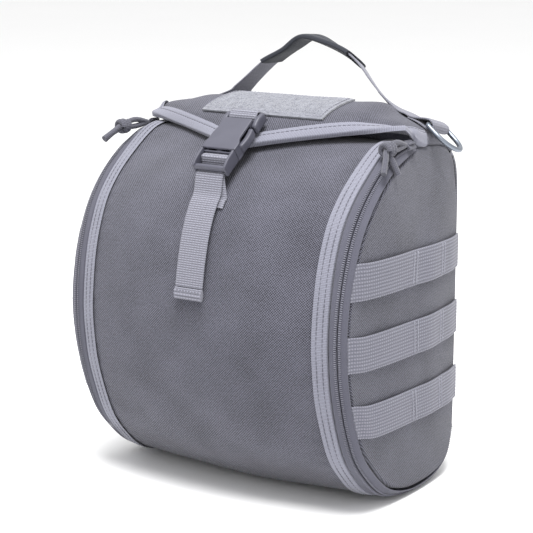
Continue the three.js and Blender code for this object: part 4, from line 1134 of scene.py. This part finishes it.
# Carry handle
# One long webbing from loop to loop: round the bar of each shoulder ring, over the shoulder and up
# into a soft arch, with a cloth grip folded round its middle and closed along the underside.
# Rows of the arch from left to right: x, height along its lean, and twist in degrees.
handle_arch = np.array([
    [-66, 1, 12],
    [-56, 14, 4],
    [-44, 28, 2],
    [-28.7, 39.4, -3],
    [-14.5, 49.3, 4],
    [8.9, 42.8, 18],
    [28.5, 34.4, 27],
    [42.2, 23.5, 36],
    [52.5, 13.9, 37],
    [66, 3.1, 32],
], float)
arch_steps = 22
arch_y = 60.0
arch_z = 275.5
handle_lean = math.radians(26)
handle_v = 0.28
ring_place = np.array([108, 60, 262.3])
bar_tilt = math.radians(14)
bar_side = np.array([0, math.cos(bar_tilt), -math.sin(bar_tilt)])


def square_to_bar(slope):
    """The way out and down at this slope, turned square to the ring's bar."""
    way = np.array([math.cos(slope), 0, -math.sin(slope)])
    return unit(way - bar_side * np.dot(way, bar_side))


def arch_at(t):
    """The arch: its place, and the direction of its width, which tilts forward by the twist."""
    x, high, twist = along(handle_arch, t).T
    place = np.stack([x, arch_y + high * math.sin(handle_lean), arch_z + high * math.cos(handle_lean)], -1)
    twist = np.radians(twist)
    return place, np.stack([0 * twist, np.cos(twist), -np.sin(twist)], -1)


loop_out = square_to_bar(math.radians(24))
loop_up = np.cross(loop_out, bar_side)
loop_rise = 1.8 + 0.5 + half_thick
loop_end = 3.6 - loop_rise
loop_turn = np.linspace(0, np.pi, 9)[1:-1]
under_lift = gap + half_thick + 0.2
over_lift = under_lift + web_thick + 0.3


def shoulder(hand, x, lift):
    """Where the strap crosses the right (1) or left (-1) shoulder at x, given as a place on the right."""
    x = np.array(x, float)
    place = roof_over(hand * x / roof_half(handle_v), handle_v, lift)
    place[:, 0] = x
    return place


def by_loop(out, up):
    """A point of the loop round the bar, in the loop's own axes."""
    return ring_place + np.asarray(out, float)[:, None] * loop_out + np.asarray(up, float)[:, None] * loop_up


def shoulder_rows(hand, foot_lift):
    """Places and widths from the foot of the arch, round the ring's bar and back below the strap."""
    places = np.concatenate([
        shoulder(hand, [80], foot_lift),
        shoulder(hand, [88, 95], over_lift),
        by_loop([-4, loop_end], [loop_rise, loop_rise]),
        by_loop(loop_end + loop_rise * np.sin(loop_turn), loop_rise * np.cos(loop_turn)),
        by_loop([loop_end, -2], [-loop_rise, -loop_rise]),
        shoulder(hand, [99], under_lift + 0.3),
        shoulder(hand, [91], under_lift),
    ])
    return np.concatenate([places, np.tile(bar_side, (len(places), 1))], axis=1)


right_rows = shoulder_rows(1, over_lift)
left_rows = shoulder_rows(-1, over_lift - 0.6)[::-1] * np.array([-1, 1, 1, 1, 1, 1])
# Nylon webbing of the handle: smoother and closer than the buckle straps, rubbed by use.
handle_nylon = webbing("nylon_webbing_handle", "#4d4d57", "#84848f", 0.1, 0.22, 1.6)
arch_rows = np.concatenate(arch_at(np.linspace(0, 1, arch_steps + 1)), axis=1)
handle_line = smooth_path(np.concatenate([left_rows, arch_rows, right_rows]), 420)
handle_part = ribbon(handle_line[:, :3], unit(handle_line[:, 3:]), web_width)
piece("handle_webbing", [handle_part], handle_nylon, ["handle_strap"])

grip_place, grip_side = arch_at(np.linspace(5, 15, 81) / arch_steps)
grip_up = unit(np.cross(grip_side, np.gradient(grip_place, axis=0)))
grip_slit = 0.004
grip_turn = np.linspace(-np.pi / 2 + grip_slit, 1.5 * np.pi - grip_slit, 60)


def grip_layer(width, thick, turn):
    """A squared oval round the strap, open along the middle of its underside."""
    wide, high = (size / 2 * np.sign(part) * np.abs(part) ** 0.45
                  for size, part in ((width, np.cos(turn)), (thick, np.sin(turn))))
    across = grip_side[:, None] * wide[None, :, None]
    return grip_place[:, None] + across + grip_up[:, None] * high[None, :, None]


grip_rings = np.concatenate([grip_layer(30, 4.6, grip_turn), grip_layer(28, 2.6, grip_turn[::-1])], axis=1)
grip_span = np.concatenate([np.linspace(0, 70, 60), np.linspace(70, 0, 60), [0]])
grip_marks = grid(grip_span[None, :], run_length(grip_place)[:, None])
# Woven polyester of the grip: the darkest cloth on the bag, worn smooth.
grip_cloth = woven_cloth("woven_polyester_grip", "#1c1e25", "#2d3039", 1.2, 0.2, 0.08)
grip = piece("handle_sleeve", [loft(grip_rings, grip_marks)], grip_cloth, ["handle_grip"])


# Shoulder rings
# A D-shaped ring bent from plated steel wire, its straight bar held in the loop at each end of the
# handle strap, where it is free to swing.
ring_wire = 1.8
ring_half = 15.0
ring_deep = 24.0
ring_bend = 2.6
ring_out = square_to_bar(math.radians(39))
ring_up = np.cross(ring_out, bar_side)
bend_turn = np.linspace(0, np.pi / 2, 8)
end_turn = np.linspace(0, np.pi, 41)
ring_flat = ring_half - ring_bend
ring_top = ring_deep - ring_half
ring_line = np.concatenate([
    grid(np.linspace(-ring_flat, ring_flat, 13)[1:-1], 0.0),
    grid(ring_flat + ring_bend * np.sin(bend_turn), ring_bend - ring_bend * np.cos(bend_turn)),
    grid(ring_half, np.linspace(ring_bend, ring_top, 6)[1:-1]),
    grid(ring_half * np.cos(end_turn), ring_top + ring_half * np.sin(end_turn)),
    grid(-ring_half, np.linspace(ring_top, ring_bend, 6)[1:-1]),
    grid(-ring_flat - ring_bend * np.cos(bend_turn), ring_bend - ring_bend * np.sin(bend_turn)),
])
ring_path = ring_place + ring_line[:, :1] * bar_side + ring_line[:, 1:] * ring_out
ring_ahead = unit(np.roll(ring_path, -1, axis=0) - np.roll(ring_path, 1, axis=0))
ring_inward = np.cross(ring_up, ring_ahead)
wire_turn = np.linspace(0, 2 * np.pi, 20, endpoint=False)[None, :, None]
wire_circle = ring_inward[:, None] * np.cos(wire_turn) + ring_up * np.sin(wire_turn)
ring_rings = ring_path[:, None] + ring_wire * wire_circle

# Satin nickel-plated steel: a soft grey metal whose plating is a little clouded and scuffed.
plated, plated_tree, plated_shader = new_material("satin_nickel_plated_steel", 0.42, Metallic=0.85)
plated_place = add_node(plated_tree, "TexCoord", {})
plated_cloud = add_node(plated_tree, "TexNoise", {
    "Vector": plated_place.outputs["Object"], "Scale": 160.0, "Detail": 4.0})
plated_tone = add_node(plated_tree, "Mix", {
    0: plated_cloud.outputs["Fac"], 6: linear("#6c727d"), 7: linear("#8b919b")}, data_type="RGBA")
plated_rough = add_node(plated_tree, "MapRange", {
    "Value": plated_cloud.outputs["Fac"], "To Min": 0.34, "To Max": 0.5})
plated_tree.links.new(plated_tone.outputs[2], plated_shader.inputs["Base Color"])
plated_tree.links.new(plated_rough.outputs[0], plated_shader.inputs["Roughness"])
for hand, parts in both_sides([loft(ring_rings, closed=True)]):
    piece(f"shoulder_ring_{hand}", parts, plated, [f"ring_{hand}"], body=f"ring_{hand}")


# Zip sliders and cord pulls
# A small cast slider at the top of each zip, under the flap's corner. Thin braided cord is looped
# through its bridge, knotted close to it and left with two short tails.
slider_u = 0.035
slider_low = band(slider_u, 0.5, 0.0)
slider_up = unit(band(slider_u, 0.5, 1.0) - slider_low)
slider_run = np.array([0, -outward(slider_u)[2], outward(slider_u)[1]])
slider_axes = np.stack([unit(np.cross(slider_up, slider_run)), slider_run, slider_up])


def on_slider(x, run, rise):
    """A point in the slider's own axes: across the zip, along it, and up off the band."""
    return slider_low + np.stack(np.broadcast_arrays(x, run, rise), -1) @ slider_axes


def slider_waist(run):
    """Half the slider's width: a rounded wedge, wider where the two rows come in."""
    return 3.3 + 0.5 * np.sin((run + 5) / 10 * np.pi / 2)


def tube(path, radius, sides, wobble=0.0):
    """Round cord along an open line: circles square to it, turned about a steady sideways direction."""
    ahead = unit(np.gradient(path, axis=0))
    side = unit(np.cross(ahead, np.array([0.83, 0.21, 0.52])))[:, None]
    up = np.cross(ahead, side[:, 0])[:, None]
    run = run_length(path)[:, None]
    turn = np.linspace(0, 2 * np.pi, sides, endpoint=False)[None, :]
    size = radius * (1 + wobble * np.cos(3 * turn + run * 1.6))
    rings = path[:, None] + (side * np.cos(turn)[..., None] + up * np.sin(turn)[..., None]) * size[..., None]
    return loft(rings, grid(np.linspace(0, 2 * np.pi * radius, sides + 1)[None, :], run))


def braid(name, dark, light):
    """Braided cord: two slanting sines cross into diamonds, broken by fibre noise."""
    made, tree, shader = new_material(name, 0.85, Sheen_Weight=0.2, Sheen_Roughness=0.5)
    place = add_node(tree, "TexCoord", {})
    split = add_node(tree, "SeparateXYZ", {0: place.outputs["UV"]})
    turn = add_node(tree, "Math", {0: split.outputs["X"], 1: 2 * math.pi / 2.36}, operation="MULTIPLY")
    rise = add_node(tree, "Math", {0: split.outputs["Y"], 1: 2 * math.pi / 2.6}, operation="MULTIPLY")
    strands = []
    for slant in ("ADD", "SUBTRACT"):
        slanted = add_node(tree, "Math", {0: turn.outputs[0], 1: rise.outputs[0]}, operation=slant)
        strands.append(add_node(tree, "Math", {0: slanted.outputs[0]}, operation="SINE").outputs[0])
    crossing = add_node(tree, "Math", {0: strands[0], 1: strands[1]}, operation="MULTIPLY")
    fibre = add_node(tree, "TexNoise", {"Vector": place.outputs["UV"], "Scale": 1.2, "Detail": 3.0})
    height = add_node(tree, "Math", {0: crossing.outputs[0], 1: 0.4, 2: fibre.outputs["Fac"]},
                      operation="MULTIPLY_ADD")
    tone = add_node(tree, "MapRange", {"Value": height.outputs[0], "From Min": 0.1, "From Max": 0.9})
    coat(tree, shader, tone.outputs[0], dark, light, height.outputs[0], 0.6, 0.3)
    return made


# Zinc casting under grey paint: hard, smooth and a little glossy.
slider_paint = moulded_plastic("painted_zinc_casting", "#474750", "#565660", 0.38)
# Braided nylon cord, 4 mm: diamonds about 2.5 mm long.
cord_nylon = braid("braided_nylon_cord", "#31313a", "#575762")
bridge_turn = np.linspace(0, np.pi, 15)
bridge_path = on_slider(0.0, -3.2 * np.cos(bridge_turn), 4.6 + 2.0 * np.sin(bridge_turn))
slider_parts = [
    moulded(on_slider, -5, 5, slider_waist, 2.9, 4.1, bevel=0.6, square=5),
    moulded(on_slider, -5, 5, slider_waist, 4.3, 5.0, bevel=0.35, square=5),
    tube(bridge_path, 0.8, 10),
]
# Each pull's eye, its knot and the cut ends of its two tails.
pull_routes = {
    "right": np.array([[112.5, 6.5, 256], [112.5, -18, 255.5], [119.5, -34.5, 241.5], [121.5, -18, 239]]),
    "left": np.array([[-112.5, 5.5, 255.8], [-113, -24, 256], [-113.5, -46, 249], [-117, -41, 247]]),
}
cord_thick = 4.0
cord_wobble = 0.03
knot_long = 7.2
knot_wide = 3.9
knot_tall = 3.7
knot_turns = 2.2
for hand, parts in both_sides(slider_parts):
    piece(f"slider_body_{hand}", parts, slider_paint, [f"zip_slider_{hand}"])
    eye, knot, *tails = pull_routes[hand]
    for way, tail in zip((1, -1), tails):
        pull_path = smooth_path(np.stack([
            eye,
            (eye + knot) / 2 + np.array([0, 0, way * 2.5 + 1]),
            knot + np.array([0, 0, way * 1.2]),
            (knot + tail) / 2 + np.array([0.3, -0.6, 0.6]),
            tail,
        ]), 40)
        cord = piece(f"pull_cord_{hand}_{'upper' if way > 0 else 'lower'}",
                     [tube(pull_path, cord_thick / 2, 16, cord_wobble)],
                     cord_nylon, [f"zip_pull_{hand}"] if way > 0 else ())
    wrap_turn = np.linspace(0, 2 * np.pi * knot_turns, 70)
    wrap_path = knot + np.stack([
        knot_wide * np.cos(wrap_turn),
        knot_long * (wrap_turn / wrap_turn[-1] - 0.5),
        knot_tall * np.sin(wrap_turn),
    ], -1)
    knot_part = tube(wrap_path, cord_thick / 2, 14, cord_wobble)
    knot_piece = piece(f"pull_knot_{hand}", [knot_part], cord_nylon)
